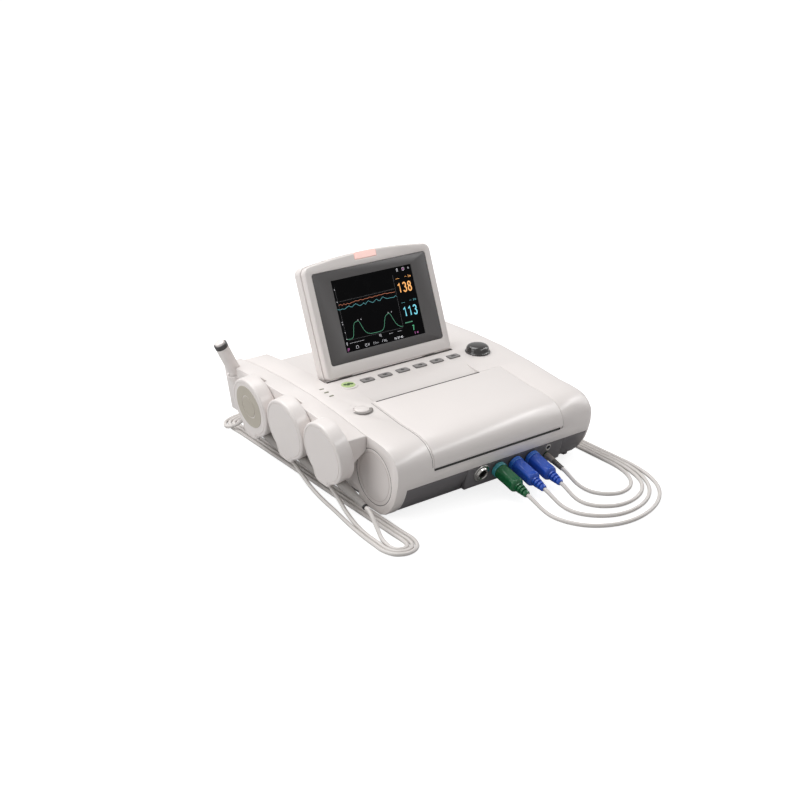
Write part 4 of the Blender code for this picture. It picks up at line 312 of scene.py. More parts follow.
def new_curve(name, lines, width, rounds):
    """Curve object of straight lines through points, each line as thick as its width."""
    curve = bpy.data.curves.new(name, "CURVE")
    curve.dimensions = "3D"
    curve.bevel_depth = width / 2
    curve.bevel_resolution = rounds
    curve.use_fill_caps = True
    for line in lines:
        spline = curve.splines.new("POLY")
        spline.points.add(len(line) - 1)
        for point, place in zip(spline.points, line):
            point.co = (*place, 1)
    return new_object(name, curve)


# Cords

def smooth_route(points):
    """Dense points on a smooth curve through the route's points."""
    padded = [points[0] * 2 - points[1]] + points + [points[-1] * 2 - points[-2]]
    dense = []
    for p0, p1, p2, p3 in zip(padded, padded[1:], padded[2:], padded[3:]):
        span = (p2 - p1).length
        into = (p2 - p0) * span / ((p1 - p0).length + span)
        out = (p3 - p1) * span / (span + (p3 - p2).length)
        steps = max(2, ceil(span / 0.003))
        for i in range(steps):
            t = i / steps
            dense.append(
                p1 * (2 * t**3 - 3 * t**2 + 1) + into * (t**3 - 2 * t**2 + t)
                + p2 * (3 * t**2 - 2 * t**3) + out * (t**3 - t**2)
            )
    return dense + [points[-1]]


# Stored coils: distance between loops, radius of the innermost one, and points of a loop
LOOP_PITCH, LOOP_INSIDE, LOOP_STEPS = 0.0052, 0.0242, 24


def coil_centre(end_x, end_y, start_angle, turns):
    """Middle of a stored coil on the table, its outer radius and the angle at which it starts."""
    outer = LOOP_INSIDE + LOOP_PITCH * turns / 4
    start = radians(start_angle)
    return at(end_x, end_y, 0) - Vector((cos(start), sin(start), 0)) * outer, outer, start


def coil_loops(end_x, end_y, start_angle, turns):
    """Loops of a stored cord: inwards on the lower layer, outwards on the upper one."""
    centre, outer, start = coil_centre(end_x, end_y, start_angle, turns)
    points = []
    for i in range(turns * LOOP_STEPS + 1):
        done = i / LOOP_STEPS
        climb = min(max((done - turns / 2) * 2 + 0.5, 0), 1)
        radius = outer - LOOP_PITCH * min(done, turns - done)
        angle = start + tau * done
        height = ON_TABLE / 1000 + LOOP_PITCH * (3 * climb**2 - 2 * climb**3)
        points.append(centre + Vector((radius * cos(angle), radius * sin(angle), height)))
    return points


DOWN_BACK = (0.0333, -0.9659, -0.2567)

# Each cord leaves a sleeve, lies in a stored coil and comes home to its plug. Route points
# are in mm on the device, and those without a height lie on the table.
CORDS = {
    "us_1": {
        "exit": (-25.26, 10.14, 23.06), "heading": DOWN_BACK, "length": 2.529,
        "out": [
            (-26.2, -2, 18.5), (-28.5, -14, 11), (-31, -26, 4.5), (-32, -36, 2.6), (-32, -44),
            (-29.4, -50.4), (-23, -53), (-16.6, -50.4), (-14, -44), (-14, -20), (-14, 60), (-14, 180),
            (-14, 290), (-14, 314), (-8.1, 328.1), (6, 334), (30, 334), (80, 334), (115, 334.5),
            (140, 338.5),
        ],
        "coil": (166, 339.2, -90, 8),
        "home": [
            (186, 340.5, 7.6), (205, 336, 7.6), (225, 334, 7.6), (262, 334, 7.8), (278, 332.5, 8),
            (289, 326.5, 8), (293.5, 314, 7), (293.8, 298, 3.4), (293.2, 280), (293.2, 200),
            (293.2, 80), (293.2, 10), (293.6, -15), (294, -40), (290.5, -66), (281.5, -89), (265, -106),
            (244, -115), (223, -115.5), (206, -107.5), (195, -94, 2.6), (190.2, -80, 5.2),
        ],
        "plug": (188.9, -56.95, 14.85),
    },
    "us_2": {
        "exit": (-25.26, 85.64, 23.06), "heading": DOWN_BACK, "length": 2.518,
        "out": [
            (-25.8, 74, 19.5), (-27.5, 58, 13.5), (-30.5, 40, 7.5), (-34, 18, 3.6), (-36.5, -4, 2.5),
            (-37.2, -28), (-37.2, -44), (-33, -54), (-23, -58.2), (-13, -54), (-8.8, -44), (-8.8, -20),
            (-8.8, 60), (-8.8, 180), (-8.8, 295), (-8.8, 314), (-4.5, 324.5), (6, 328.8), (30, 328.8),
            (120, 328.8), (190, 329.2), (218, 337.5),
        ],
        "coil": (242, 339.2, -90, 7),
        "home": [
            (262, 340.8, 7.8), (280, 338, 8), (293, 331, 8), (298.8, 318, 7.6), (299.2, 300, 3.6),
            (298.4, 280), (298.4, 200), (298.4, 80), (298.4, 0), (299.2, -30), (298, -58), (290.5, -85),
            (275.5, -108), (254, -124), (229, -131.5), (205, -130), (185, -119), (172, -102, 2.5),
            (166.5, -84, 4.8),
        ],
        "plug": (164.6, -56.95, 14.85),
    },
    "toco": {
        "exit": (-25.26, 161.14, 23.06), "heading": DOWN_BACK, "length": 2.495,
        "out": [
            (-25.8, 148, 19), (-27.2, 130, 12.5), (-29, 108, 6.2), (-31, 84, 3), (-34, 56), (-38.5, 24),
            (-41.5, -6), (-42.4, -30), (-42.4, -44), (-36.7, -57.7), (-23, -63.4), (-9.3, -57.7),
            (-3.6, -44), (-3.6, -20), (-3.6, 60), (-3.6, 200), (-3.6, 300), (-3.6, 314), (-0.8, 320.8),
            (6, 323.6), (25, 323.6), (140, 323.6), (250, 323.6), (275, 323.6), (290, 321.5),
            (302, 314.5), (308.5, 303), (310, 287), (310, 272),
        ],
        "coil": (310, 250, 180, 6),
        "home": [
            (312, 234, 7.4), (308.5, 218, 5), (304.5, 198, 2.8), (303.6, 180), (303.6, 80), (303.6, 0),
            (304.4, -30), (304.2, -56), (299, -85), (286.5, -111), (265, -131.5), (238, -144),
            (209, -148), (183, -142.5), (161, -128), (148, -107, 2.5), (142.6, -87, 4.4),
        ],
        "plug": (140.3, -56.95, 14.85),
    },
    "marker": {
        "exit": (-5.87, 284, 52.73), "heading": (0.4163, 0, -0.9092), "length": 2.409,
        "out": [
            (-4, 284.6, 40), (-5.2, 286.2, 31), (-9, 290.5, 20.5), (-14.5, 299, 11.5),
            (-18.8, 309.5, 5.5), (-18.6, 320.5, 2.6), (-11.8, 331.8), (6, 339.2), (35, 339.2),
            (65, 339.2),
        ],
        "coil": (86, 339.2, -90, 10),
        "home": [
            (110, 340.5, 7.6), (130, 335.2, 7.6), (150, 334, 7.6), (190, 333, 7.6), (215, 329.5, 7.6),
            (235, 328.8, 7.6), (258, 328.5, 7.8), (272, 327, 8), (283, 321.5, 8), (288.5, 310, 6.2),
            (288.8, 296, 3), (288, 280), (288, 200), (288, 80), (288, 0), (288, -20), (287.5, -44),
            (282.5, -66), (272, -83), (258, -93), (242, -95), (227, -87), (218, -73, 2.8),
            (214.4, -58, 5.8),
        ],
        "plug": (213.5, -32.74, 15.73),
    },
}
PLUG_HEADING = Vector((0, -0.9703, -0.2419))


def placed(points):
    return [at(*(point if len(point) == 3 else (*point, ON_TABLE))) for point in points]


def cord_route(facts):
    start = at(*facts["exit"])
    heading = Vector(facts["heading"])
    loops = coil_loops(*facts["coil"])
    turn_in = (loops[1] - loops[0]).normalized()
    turn_in.z = 0
    first = [start, start + heading * CORD_DIAMETER] + placed(facts["out"])
    first += [loops[0] - turn_in * CORD_DIAMETER]
    end = at(*facts["plug"])
    second = [loops[-1] + turn_in * CORD_DIAMETER] + placed(facts["home"])
    second += [end + PLUG_HEADING * CORD_DIAMETER, end]
    return smooth_route(first) + loops + smooth_route(second)


for cord_name, facts in CORDS.items():
    cord = new_curve(f"{cord_name}_cord", [cord_route(facts)], CORD_DIAMETER, 3)
    cord.data.materials.append(CABLE)
    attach(cord, "unit")
    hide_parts(*(f"{cord_name}_{part}" for part in ("lead", "coil", "tail")))


# Modelling helpers

def select_only(piece):
    bpy.ops.object.select_all(action="DESELECT")
    bpy.context.view_layer.objects.active = piece
    piece.select_set(True)


def edit(piece):
    select_only(piece)
    bpy.ops.object.mode_set(mode="EDIT")
    pick_all()


def leave(outwards=False):
    """Ends the editing of a piece, after turning all its faces outwards if asked to."""
    if outwards:
        pick_all()
        bpy.ops.mesh.normals_make_consistent(inside=False)
    bpy.ops.object.mode_set(mode="OBJECT")


def stretch(shares, centre=(0, 0, 0)):
    """Scales what is picked, by a share for each axis."""
    bpy.ops.transform.resize(value=shares, center_override=centre)


def pick_all():
    bpy.ops.mesh.select_all(action="SELECT")


def raise_by(height, across=0):
    """Draws what is picked up to a new height."""
    bpy.ops.mesh.extrude_region_move(TRANSFORM_OT_translate={"value": (across, 0, height)})


def draw_up(steps):
    """Insets and rises in mm of the picked face. A step without an inset is a straight rise."""
    for inset, rise in steps:
        if inset:
            bpy.ops.mesh.inset(thickness=inset / 1000, depth=rise / 1000)
        else:
            raise_by(rise / 1000)


def all_faces():
    bpy.ops.mesh.select_mode(type="FACE")
    pick_all()


def pick(kind, test):
    """Selects what passes a test of its place: faces, edges or points of the edited mesh."""
    bpy.ops.mesh.select_mode(type=kind)
    bpy.ops.mesh.select_all(action="DESELECT")
    mesh = bpy.context.edit_object.data
    drawn = bmesh.from_edit_mesh(mesh)
    for item in {"VERT": drawn.verts, "EDGE": drawn.edges, "FACE": drawn.faces}[kind]:
        if test(item):
            item.select_set(True)
    drawn.select_flush_mode()
    bmesh.update_edit_mesh(mesh)


def settle(piece, name, place, material, stands_for=(), angle=35, body="unit"):
    """Puts a modelled piece in its place, with its finish and the body that carries it."""
    piece.name = name
    piece.data.name = name
    select_only(piece)
    piece.matrix_world = place @ piece.matrix_world
    bpy.ops.object.transform_apply()
    bpy.ops.object.shade_smooth_by_angle(angle=radians(angle))
    piece.data.materials.clear()
    piece.data.materials.append(material)
    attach(piece, body)
    if stands_for:
        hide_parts(*stands_for)
    piece.select_set(False)
    return piece


def in_metres(profile):
    return [(radius / 1000, height / 1000) for radius, height in profile]


def turned(rings, sides=48):
    """Round piece drawn up ring by ring from a disc. Rings are radius and height in mm."""
    rings = in_metres(rings)
    radius, height = rings[0]
    bpy.ops.mesh.primitive_circle_add(
        vertices=sides, radius=radius, fill_type="NGON", location=(0, 0, height)
    )
    piece = bpy.context.object
    bpy.ops.object.transform_apply()
    bpy.ops.object.mode_set(mode="EDIT")
    all_faces()
    for wide, high in rings[1:]:
        raise_by(high - height)
        if wide != radius:
            share = wide / radius
            stretch((share, share, 1), (0, 0, high))
        radius, height = wide, high
    leave(outwards=True)
    return piece


def ribs(count, radius, taper, height, pitch, rib):
    """Rings of equal ribs up a piece that narrows: a rib is its rings out and up from its start."""
    return [
        (radius - taper * i + out, height + pitch * i + up) for i in range(count) for out, up in rib
    ]


SHARP_ANGLE = radians(30)


def sharp(edge):
    return len(edge.link_faces) == 2 and edge.calc_face_angle(0) > SHARP_ANGLE


# CAD pieces that keep their shape and get their finish

for material, *nodes in (
    (SHELL_SMOOTH, "paper_tray"), (LOWER, "speaker", "power_inlet"), (BLACK_RUBBER, "platen_roller"),
    (STEEL, "hinge_bracket", "paper_motor", "print_head", "knob_encoder"), (JACK_GREY, "motor_pinion"),
    (BOARD, "socket_board", "key_board", "main_board"), (PAPER, "paper_pack"), (LENS, "status_lights"),
    (GLASS, "lcd_panel"), (LAMP, "alarm_lamp"),
):
    for node in nodes:
        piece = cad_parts[node]
        if not piece.material_slots:
            piece.data.materials.append(material)
        for slot in piece.material_slots:
            slot.material = material


# Moulded shells with their edges rounded

def soften(node, name, material, roundings, local=Matrix.Identity(4), cut=None, body="unit"):
    """CAD shell with its flat faces made whole, and a rounding for the sharp edges of each test."""
    piece = new_object(name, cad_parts[node].data.copy())
    piece.data.transform(local.inverted())
    edit(piece)
    bpy.ops.mesh.remove_doubles(threshold=0.00001)
    bpy.ops.mesh.dissolve_limited(angle_limit=radians(0.6))
    pick_all()
    if cut:
        bpy.ops.mesh.bisect(plane_co=cut[0], plane_no=cut[1], use_fill=True, clear_outer=True)
    for width, segments, test in roundings:
        pick("EDGE", lambda edge, chosen=test: sharp(edge) and chosen(edge))
        bpy.ops.mesh.bevel(offset=width, segments=segments, affect="EDGES", clamp_overlap=False)
    pick_all()
    bpy.ops.mesh.remove_doubles(threshold=0.000005)
    leave(outwards=True)
    settle(piece, name, local, material, (node,), 32, body)


def middle(edge):
    return (edge.verts[0].co + edge.verts[1].co) / 2


def everywhere(edge):
    return True


def at_corner(edge, across, up):
    """Edge that runs through the screen at a corner of its window."""
    run, centre, reach = edge.verts[1].co - edge.verts[0].co, middle(edge), 0.0015
    if abs(run.normalized().y) < 0.9:
        return False
    return abs(abs(centre.x) - across) < reach and abs(abs(centre.z) - up) < reach


def on_front_rim(edge):
    """Edge round the outside of the screen's front."""
    centre = middle(edge)
    return centre.y < -0.0108 and (abs(centre.x) > 0.085 or abs(centre.z) > 0.06)


soften("top_case", "top_shell", SHELL, ((0.0006, 2, everywhere),))
soften("paper_cover", "cover_shell", SHELL, ((0.0005, 2, everywhere),), body="cover")
soften("end_cap", "round_end_cap", SHELL, ((0.0006, 2, everywhere),))
soften("screen_front_shell", "screen_frame", SHELL, (
    (0.0035, 5, lambda edge: at_corner(edge, 0.0805, 0.0535)),
    (0.0018, 4, on_front_rim),
    (0.0004, 2, everywhere),
), SCREEN, body="screen")
soften("screen_rear_shell", "screen_back", SHELL, (
    (0.0014, 3, lambda edge: middle(edge).y > 0.004), (0.0003, 2, everywhere),
), SCREEN, body="screen")
soften("screen_bezel", "screen_surround", BEZEL, (
    (0.0033, 5, lambda edge: at_corner(edge, 0.0804, 0.0533)), (0.0003, 2, everywhere),
), SCREEN, body="screen")

# The rack's front end is cut back underneath, clear of the round end cap
soften("transducer_rack", "side_rack", SHELL, ((0.001, 3, everywhere),), cut=(
    at(-0.3, 44, 70), Vector((0.45, -0.62, -0.64)).normalized()))
soften("bottom_case", "lower_tray", LOWER, ((0.0008, 2, everywhere),))
PANEL_LEFT = at(96, 0, 0).x
# Widest at the lower end of the panel's left edge, narrower above it
soften("connector_panel", "socket_block", PANEL_GREY, (
    (0.005, 6, lambda edge: abs(middle(edge).x - PANEL_LEFT) < 0.0005 and middle(edge).z < 0.0125),
    (0.0014, 3, lambda edge: abs(middle(edge).x - PANEL_LEFT) < 0.006 and middle(edge).z < 0.034),
    (0.0008, 2, everywhere),
))
soften("latch_button", "cover_latch", SHELL, ((0.0005, 2, everywhere),), body="latch")


# Belt transducers in the rack

OUTWARD = Matrix.Rotation(radians(-90), 4, "Y")
SHELL_RADIUS, SHELL_SIDES = 0.0358, 120
CHIN = (
    (24.4, -26.2), (24, -28.4), (23.7, -31.6), (23, -35.2), (20.6, -38.9), (16.4, -40.9),
    (9, -41.9), (2, -42), (-2.4, -41.2), (-5.2, -38.8), (-7.4, -36), (-9.5, -34.5),
)


def chin_outline():
    """Round plate whose lower edge is drawn out into the chin over the cord."""
    bpy.ops.mesh.primitive_circle_add(
        vertices=SHELL_SIDES, radius=SHELL_RADIUS, fill_type="NGON", location=(0, 0, 0)
    )
    piece = bpy.context.object
    corners = piece.data.vertices
    # The plate's lower edge between the two ends of the chin
    low = [v.index for v in corners if v.co.x < -0.026 and -0.0094 < v.co.y < 0.0243]
    low.sort(key=lambda index: -corners[index].co.y)
    chin = smooth_route([Vector((z / 1000, y / 1000, 0)) for y, z in CHIN])
    lengths = [0]
    for a, b in zip(chin, chin[1:]):
        lengths.append(lengths[-1] + (b - a).length)
    edit(piece)
    for count, index in enumerate(low):
        want = lengths[-1] * (count + 1) / (len(low) + 1)
        step = next(i for i in range(1, len(lengths)) if lengths[i] >= want - 1e-9)
        share = (want - lengths[step - 1]) / (lengths[step] - lengths[step - 1])
        target = chin[step - 1].lerp(chin[step], share)
        pick("VERT", lambda v, chosen=index: v.index == chosen)
        drawn = bmesh.from_edit_mesh(piece.data)
        here = next(v.co.copy() for v in drawn.verts if v.select)
        bpy.ops.transform.translate(value=target - here)
    all_faces()
    return piece


# Each has a round shell, a front plate with chin, soft rim and fine groove, and a belt button
for name in TRANSDUCERS:
    piece = chin_outline()
    draw_up((
        (0, 0.4), (0, 1.4), (0.12, 0.9), (0.34, 0.7), (0.54, 0.45), (0.6, 0.25), (0.6, 0.1), (1, 0.1),
        (0.3, -0.6), (0.5, 0), (0.3, 0.6),
    ))
    leave(outwards=True)
    place = TRANSDUCERS[name] @ move((-0.0136, 0, 0)) @ OUTWARD
    settle(piece, f"{name}_face", place, SHELL_SMOOTH, (f"{name}_shell",), 32)
    shell = [(35.2, 0), (35.7, 0.5), (35.8, 1), (35.8, 6), (35.8, 13.2), (35.6, 13.4)]
    place = TRANSDUCERS[name] @ move((-0.0003, 0, 0)) @ OUTWARD
    settle(turned(shell, SHELL_SIDES), f"{name}_body", place, SHELL_SMOOTH)
    button = turned([
        (4, 0), (4, 3.3), (6.6, 3.4), (7.4, 3.8), (7.5, 4.4), (7.5, 5.2), (7.1, 5.9), (5.6, 6.2),
        (4, 6),
    ])
    place = TRANSDUCERS[name] @ move((-0.0004, 0, 0)) @ Matrix.Rotation(radians(90), 4, "Y")
    settle(button, f"{name}_belt_button", place, SHELL_SMOOTH)

disc = turned([
    (25.6, 0), (25.9, 0.2), (25.9, 0.9), (25.6, 1.2), (14.2, 1.2), (14, 0.6), (13, 0.6), (12.8, 1.2),
    (8, 1.35), (2, 1.4),
], 96)
place = TRANSDUCERS["toco"] @ move((-0.0172, 0, 0.002)) @ OUTWARD
settle(disc, "sensing_disc", place, MEMBRANE, ("toco_membrane",))
# Painted shade lying in the bottom of the disc's groove
line = turned([(14, 0), (14, 0.06), (13.2, 0.06)], 96)
place = TRANSDUCERS["toco"] @ move((-0.01782, 0, 0.002)) @ OUTWARD
settle(line, "sensing_groove_shade", place, MEMBRANE_GROOVE_SHADE)

# Tapered sleeves where the transducers' cords leave, with ribs and a black end ring
SLEEVE = [(5.2, -13), (5.5, -12.6), (5.5, 1), (5.3, 3.4), (4.7, 20)]
SLEEVE += ribs(7, 4.5525, 0.156, 21.5, 2.4, ((0, 0), (-0.3, 0.4), (-0.3, 1), (-0.1, 1.4)))
SLEEVE += [(3.3, 38.5), (3.3, 39.8), (3, 40)]
RING = [(3, 40), (3.4, 40.1), (3.4, 41.6), (3.1, 42)]
slope = Vector((0, -cos(radians(15)), -sin(radians(15)))).to_track_quat("Z", "Y").to_matrix().to_4x4()
for name, local in TRANSDUCERS.items():
    place = local @ move((-0.009, -0.02, -0.033)) @ slope
    settle(turned(SLEEVE, 40), f"{name}_sleeve", place, RELIEF, (f"{name}_relief",), 50)
    settle(turned(RING, 40), f"{name}_sleeve_end", place, BLACK_RUBBER)


# Plugs in the front panel

GRIP = [
    (7.8, 5), (8.6, 5.3), (8.8, 6.2), (8.8, 14), (8.6, 20), (8.6, 24.5), (8.8, 30), (8.6, 32.2),
    (7.6, 33.8), (5.8, 34.8), (5, 35),
]
BOOT = [(5, 34.6), (5.6, 35.1), (5.6, 37)]
BOOT += ribs(3, 5.4, 0.6, 37.4, 4.2, ((-1.4, 0), (-1.4, 1), (0, 1.3), (-0.2, 3.6)))
BOOT += [(3.6, 50), (3.4, 50.7), (3, 51)]
COLLAR = [
    (8, 0), (9, 0.1), (9.4, 0.5), (9.4, 1.2), (9, 1.6), (9, 2.2), (9.4, 2.6), (9.4, 4.4), (9, 4.9),
    (8, 5),
]
FLAT_SIDE, FLAT_TOP = 0.0076, 0.0072


def shape_grip():
    """Grip with flats left, right and on top, and a groove across the upper one."""
    piece = turned(GRIP, 64)
    edit(piece)
    for side in (-1, 1):
        pick("VERT", lambda v: 0.008 < v.co.z < 0.032 and v.co.x * side > FLAT_SIDE)
        stretch((0, 1, 1), (side * FLAT_SIDE, 0, 0))
    pick("VERT", lambda v: v.co.y > FLAT_TOP and 0.008 < v.co.z < 0.0315)
    stretch((1, 0, 1), (0, FLAT_TOP, 0))
    pick("VERT", lambda v: v.co.y > FLAT_TOP - 0.0001 and 0.023 < v.co.z < 0.026)
    bpy.ops.transform.translate(value=(0, -0.0012, 0))
    leave()
    return piece


PLUGS = {
    "toco": (140.3, GREEN_PLUG, TEAL, "plug_green"), "us_2": (164.6, BLUE_PLUG, SKY, "plug_blue"),
    "us_1": (188.9, BLUE_PLUG, SKY, "plug_blue"),
}
CARRIED = {}
for plug, (x, colour, collar_colour, slot) in PLUGS.items():
    place = SOCKETS @ move((x / 1000, 0, 0.0013))
    CARRIED[plug] = [
        settle(shape_grip(), f"{plug}_plug_grip", place, colour, (f"{plug}_plug",), 32),
        settle(turned(BOOT, 40), f"{plug}_plug_boot", place, colour, (), 30),
        settle(turned(COLLAR, 64), f"{plug}_plug_collar", place, collar_colour, (), 30),
    ]

JACK = [(3, 0), (3.5, 0.3), (3.6, 1), (3.6, 12), (3.4, 12.8), (2.8, 13)]
JACK_BOOT_RINGS = [(2.9, 13), (3.1, 13.3)]
JACK_BOOT_RINGS += ribs(4, 3.2, 0.1, 14, 3.2, ((0, 0), (0, 1.8), (-0.7, 2), (-0.7, 2.8)))
JACK_BOOT_RINGS += [(2.9, 27), (2.9, 27.7), (2.6, 28)]
place = SOCKETS @ move((0.2135, -0.005, 0.0006))
CARRIED["marker"] = [
    settle(turned(JACK, 40), "marker_jack", place, JACK_GREY, ("marker_plug",), 32),
    settle(turned(JACK_BOOT_RINGS, 36), "marker_jack_boot", place, JACK_BOOT, (), 30),
]


# Metal sockets

def lathe(name, profile, sides, place, material, stands_for=()):
    """Ring or tube spun from its profile of radius and height in mm, closed back on itself."""
    profile = in_metres(profile)
    radius, height = profile[0]
    bpy.ops.mesh.primitive_plane_add(size=0.001)
    piece = bpy.context.object
    edit(piece)
    bpy.ops.mesh.delete(type="ONLY_FACE")
    pick("VERT", lambda v: v.index > 0)
    bpy.ops.mesh.delete(type="VERT")
    pick_all()
    drawn = bmesh.from_edit_mesh(piece.data)
    bpy.ops.transform.translate(value=Vector((radius, 0, height)) - next(iter(drawn.verts)).co)
    for wide, high in profile[1:]:
        raise_by(high - height, wide - radius)
        radius, height = wide, high
    pick("VERT", lambda v: (v.co - Vector((profile[0][0], 0, profile[0][1]))).length < 1e-6 or (
        v.co - Vector((radius, 0, height))).length < 1e-6)
    bpy.ops.mesh.edge_face_add()
    pick_all()
    bpy.ops.mesh.spin(steps=sides, angle=tau, center=(0, 0, 0), axis=(0, 0, 1))
    pick_all()
    bpy.ops.mesh.remove_doubles(threshold=0.000002)
    leave(outwards=True)
    settle(piece, name, place, material, stands_for, 32)


place = SOCKETS @ move((0.1175, 0, 0))
lathe("service_socket_ring", [
    (6.2, 0.1), (10.4, 0.1), (10.6, 0.5), (10.2, 1), (8, 1.2), (7.6, 1.6), (7.2, 2.6), (6.6, 3.1),
    (5.8, 3.1), (5.1, 2.5), (4.8, 1.2), (4.8, -1), (6.2, -1),
], 64, place, CHROME, ("service_socket",))
bore = turned([(4.7, -8.5), (4.7, -8.3), (4.6, -8), (2, -7.9)])
settle(bore, "service_socket_floor", place, BORE)
lathe("service_socket_bore", [
    (4.7, 0.8), (4.9, 0.8), (4.9, -8.4), (4.7, -8.4),
], 48, place, BORE)
for turn in (30, 150, 270):
    pin = turned([(1.2, -7.8), (1.2, -3), (1, -2.6), (0.4, -2.5)], 24)
    spot = Matrix.Rotation(radians(turn), 4, "Z") @ move((0.0024, 0, 0))
    settle(pin, f"service_pin_{turn}", place @ spot, STEEL)
place = SOCKETS @ move((0.214, 0.005, 0))
lathe("spare_jack_rim", [
    (2.5, -0.6), (4.1, -0.6), (4.1, 0.3), (3.7, 0.6), (2.9, 0.6), (2.5, 0.2),
], 48, place, CHROME)
lathe("spare_jack_bore", [
    (2.4, 0.1), (2.6, 0.1), (2.6, -3.8), (2.4, -3.8),
], 40, place, BORE)


# What the display shows: dots, lines and plain numbers, drawn in its own plane

DISPLAY = SCREEN @ move((0, -0.00985, 0))


def add_marks(name, lines, width, material):
    """Lit strokes: each line is a row of points across and up from the display's middle, in mm."""
    drawn = [[(x / 1000, 0, h / 1000) for x, h in line] for line in lines]
    flat_on_display(new_curve(name, drawn, width / 1000, 1), name, material)


def flat_on_display(piece, name, material):
    select_only(piece)
    bpy.ops.object.convert(target="MESH")
    edit(piece)
    stretch((1, 0.25, 1))
    leave(outwards=True)
    settle(piece, name, DISPLAY, material, body="screen")


def add_clock(text, x, h, height):
    """Plain numbers with their left end and their foot at a place on the display."""
    bpy.ops.object.text_add(radius=1, location=(0, 0, 0))
    piece = bpy.context.object
    piece.data.body = text
    piece.data.size = height / 0.7 / 1000
    piece.data.extrude, piece.data.offset = 0.0002, 0.00004
    bpy.ops.object.convert(target="MESH")
    low = min(v.co.x for v in piece.data.vertices)
    edit(piece)
    bpy.ops.mesh.remove_doubles(threshold=0.000005)
    bpy.ops.transform.translate(value=(-low, 0, 0))
    stretch((0.98, 1, 1))
    leave()
    piece.matrix_world = move((x / 1000, 0, h / 1000)) @ Matrix.Rotation(radians(90), 4, "X")
    bpy.ops.object.transform_apply()
    flat_on_display(piece, "clock", WHITE_MARK)


def dashes(x, h, widths, gap=0.6):
    """Row of short strokes, as unreadably small print looks."""
    lines = []
    for wide in widths:
        lines.append([(x, h), (x + wide, h)])
        x += wide + gap
    return lines


def oval(x, h, wide, high, start, end, steps=12):
    """Points round part of an oval, between two angles in degrees."""
    turns = [radians(start + (end - start) * i / steps) for i in range(steps + 1)]
    return [(x + wide * cos(turn), h + high * sin(turn)) for turn in turns]


def ring_line(x, h, radius, start=0, end=360, steps=10):
    return oval(x, h, radius, radius, start, end, steps)


# Narrow digits one unit high: each is the middle lines of its strokes
DIGITS = {
    "1": [[(0.02, 0.8), (0.14, 0.86), (0.24, 1), (0.24, 0)]],
    "3": [oval(0.2, 0.77, 0.18, 0.23, 160, -80) + oval(0.2, 0.27, 0.2, 0.27, 80, -160)],
    "8": [oval(0.2, 0.77, 0.17, 0.23, -90, 270, 18), oval(0.2, 0.27, 0.2, 0.27, 90, 450, 18)],
    "7": [[(0, 1), (0.4, 1), (0.26, 0.6), (0.14, 0)]],
}


def digits(text, x, h, height, step):
    """Strokes of a number from its left end and its foot, with its digits a step apart."""
    return [
        [(x + step * count + a * height, h + b * height) for a, b in line]
        for count, digit in enumerate(text) for line in DIGITS[digit]
    ]


add_marks("rate_one", digits("138", 32.4, 11.6, 10.8, 7.2), 1.7, ORANGE_DIGITS)
add_marks("rate_two", digits("113", 33, -17.2, 10.8, 7.2), 1.7, CYAN_DIGITS)
add_marks("pressure", digits("7", 40.6, -35.2, 5.6, 4), 1.1, GREEN_DIGITS)
add_marks("upper_trace", [[
    (-53.1, 13), (-50.8, 13.9), (-48.4, 12.2), (-46.2, 13.8), (-43.6, 12), (-41.4, 13.4), (-38.6, 12.1),
    (-35.4, 13.2), (-32, 13.4), (-29.5, 14.2), (-26, 13.3), (-22.8, 14.3), (-19.6, 13.2), (-16.2, 14.1),
    (-13.3, 13.6), (-9.6, 14.6), (-6.2, 13.4), (-2.4, 14.4), (0.8, 13.9), (3.3, 14.6), (7.6, 14.2),
    (11.8, 14.9), (15.6, 13.9), (19.4, 14.3), (23, 13.6), (26.4, 13.8),
]], 0.5, RED_TRACE)
add_marks("lower_trace", [[
    (-56, 8.8), (-52.8, 7.8), (-49.6, 8.4), (-46.6, 7.4), (-43.4, 8.9), (-40.2, 10), (-37.8, 8.5),
    (-35.8, 8.1), (-32.9, 9.8), (-30.3, 10.8), (-27.8, 9), (-25.5, 7.4), (-22.6, 8), (-19.4, 9.6),
    (-17.4, 7.4), (-15.2, 9.4), (-12.5, 10.8), (-9.6, 8.8), (-6.7, 7.4), (-3.6, 9.2), (-1, 10.6),
    (1.2, 8.6), (3.2, 7.6), (5.8, 9.8), (8.3, 11.4), (11.6, 9.2), (14.9, 8.1), (19, 8.3), (23.2, 7.8),
    (26, 9.4), (27.6, 8.2),
]], 0.5, CYAN_TRACE)
add_marks("contraction_trace", [[
    (-52.6, -27.1), (-48.8, -27.5), (-45.5, -27.4), (-43.6, -26.2), (-42.4, -24), (-41.2, -19.6),
    (-39.6, -13.4), (-38.2, -10.8), (-36.4, -9.8), (-33.8, -9.2), (-32, -9.4), (-30.4, -12),
    (-29.2, -15.4), (-27.4, -20), (-25.4, -23.4), (-22.8, -25.6), (-18.8, -26.8), (-12.4, -27.2),
    (-6.8, -27.2), (-2.5, -26.7), (-0.4, -25.4), (1.6, -22.4), (3.4, -17), (5.2, -12.6), (7.2, -10.4),
    (9.6, -9.4), (12.2, -9), (13.8, -11.4), (15.8, -16.6), (18.2, -21.8), (20.9, -25.4), (23.8, -27.2),
    (27, -27.8),
]], 0.5, GREEN_TRACE)
add_marks("divider", [
    [(28.4, 33.6), (27.4, -28.2)], [(-53.9, 34.2), (-52.4, -27.6)], [(-52.2, 17), (27.6, 17.4)],
    [(-50.6, -28.4), (27, -29.4)],
], 0.2, GREY_LINE)
MARKS = [ring_line(x, h, 0.42, steps=6) for x, h in (
    (-32.2, -8.2), (-27.8, -8.2), (10.9, -8.2), (15.6, -8), (-54.4, 31.4), (-54.4, 17.1), (-53.8, -6.7),
    (-53.7, -9.4), (-52.9, -19), (-52.7, -26.6),
)]
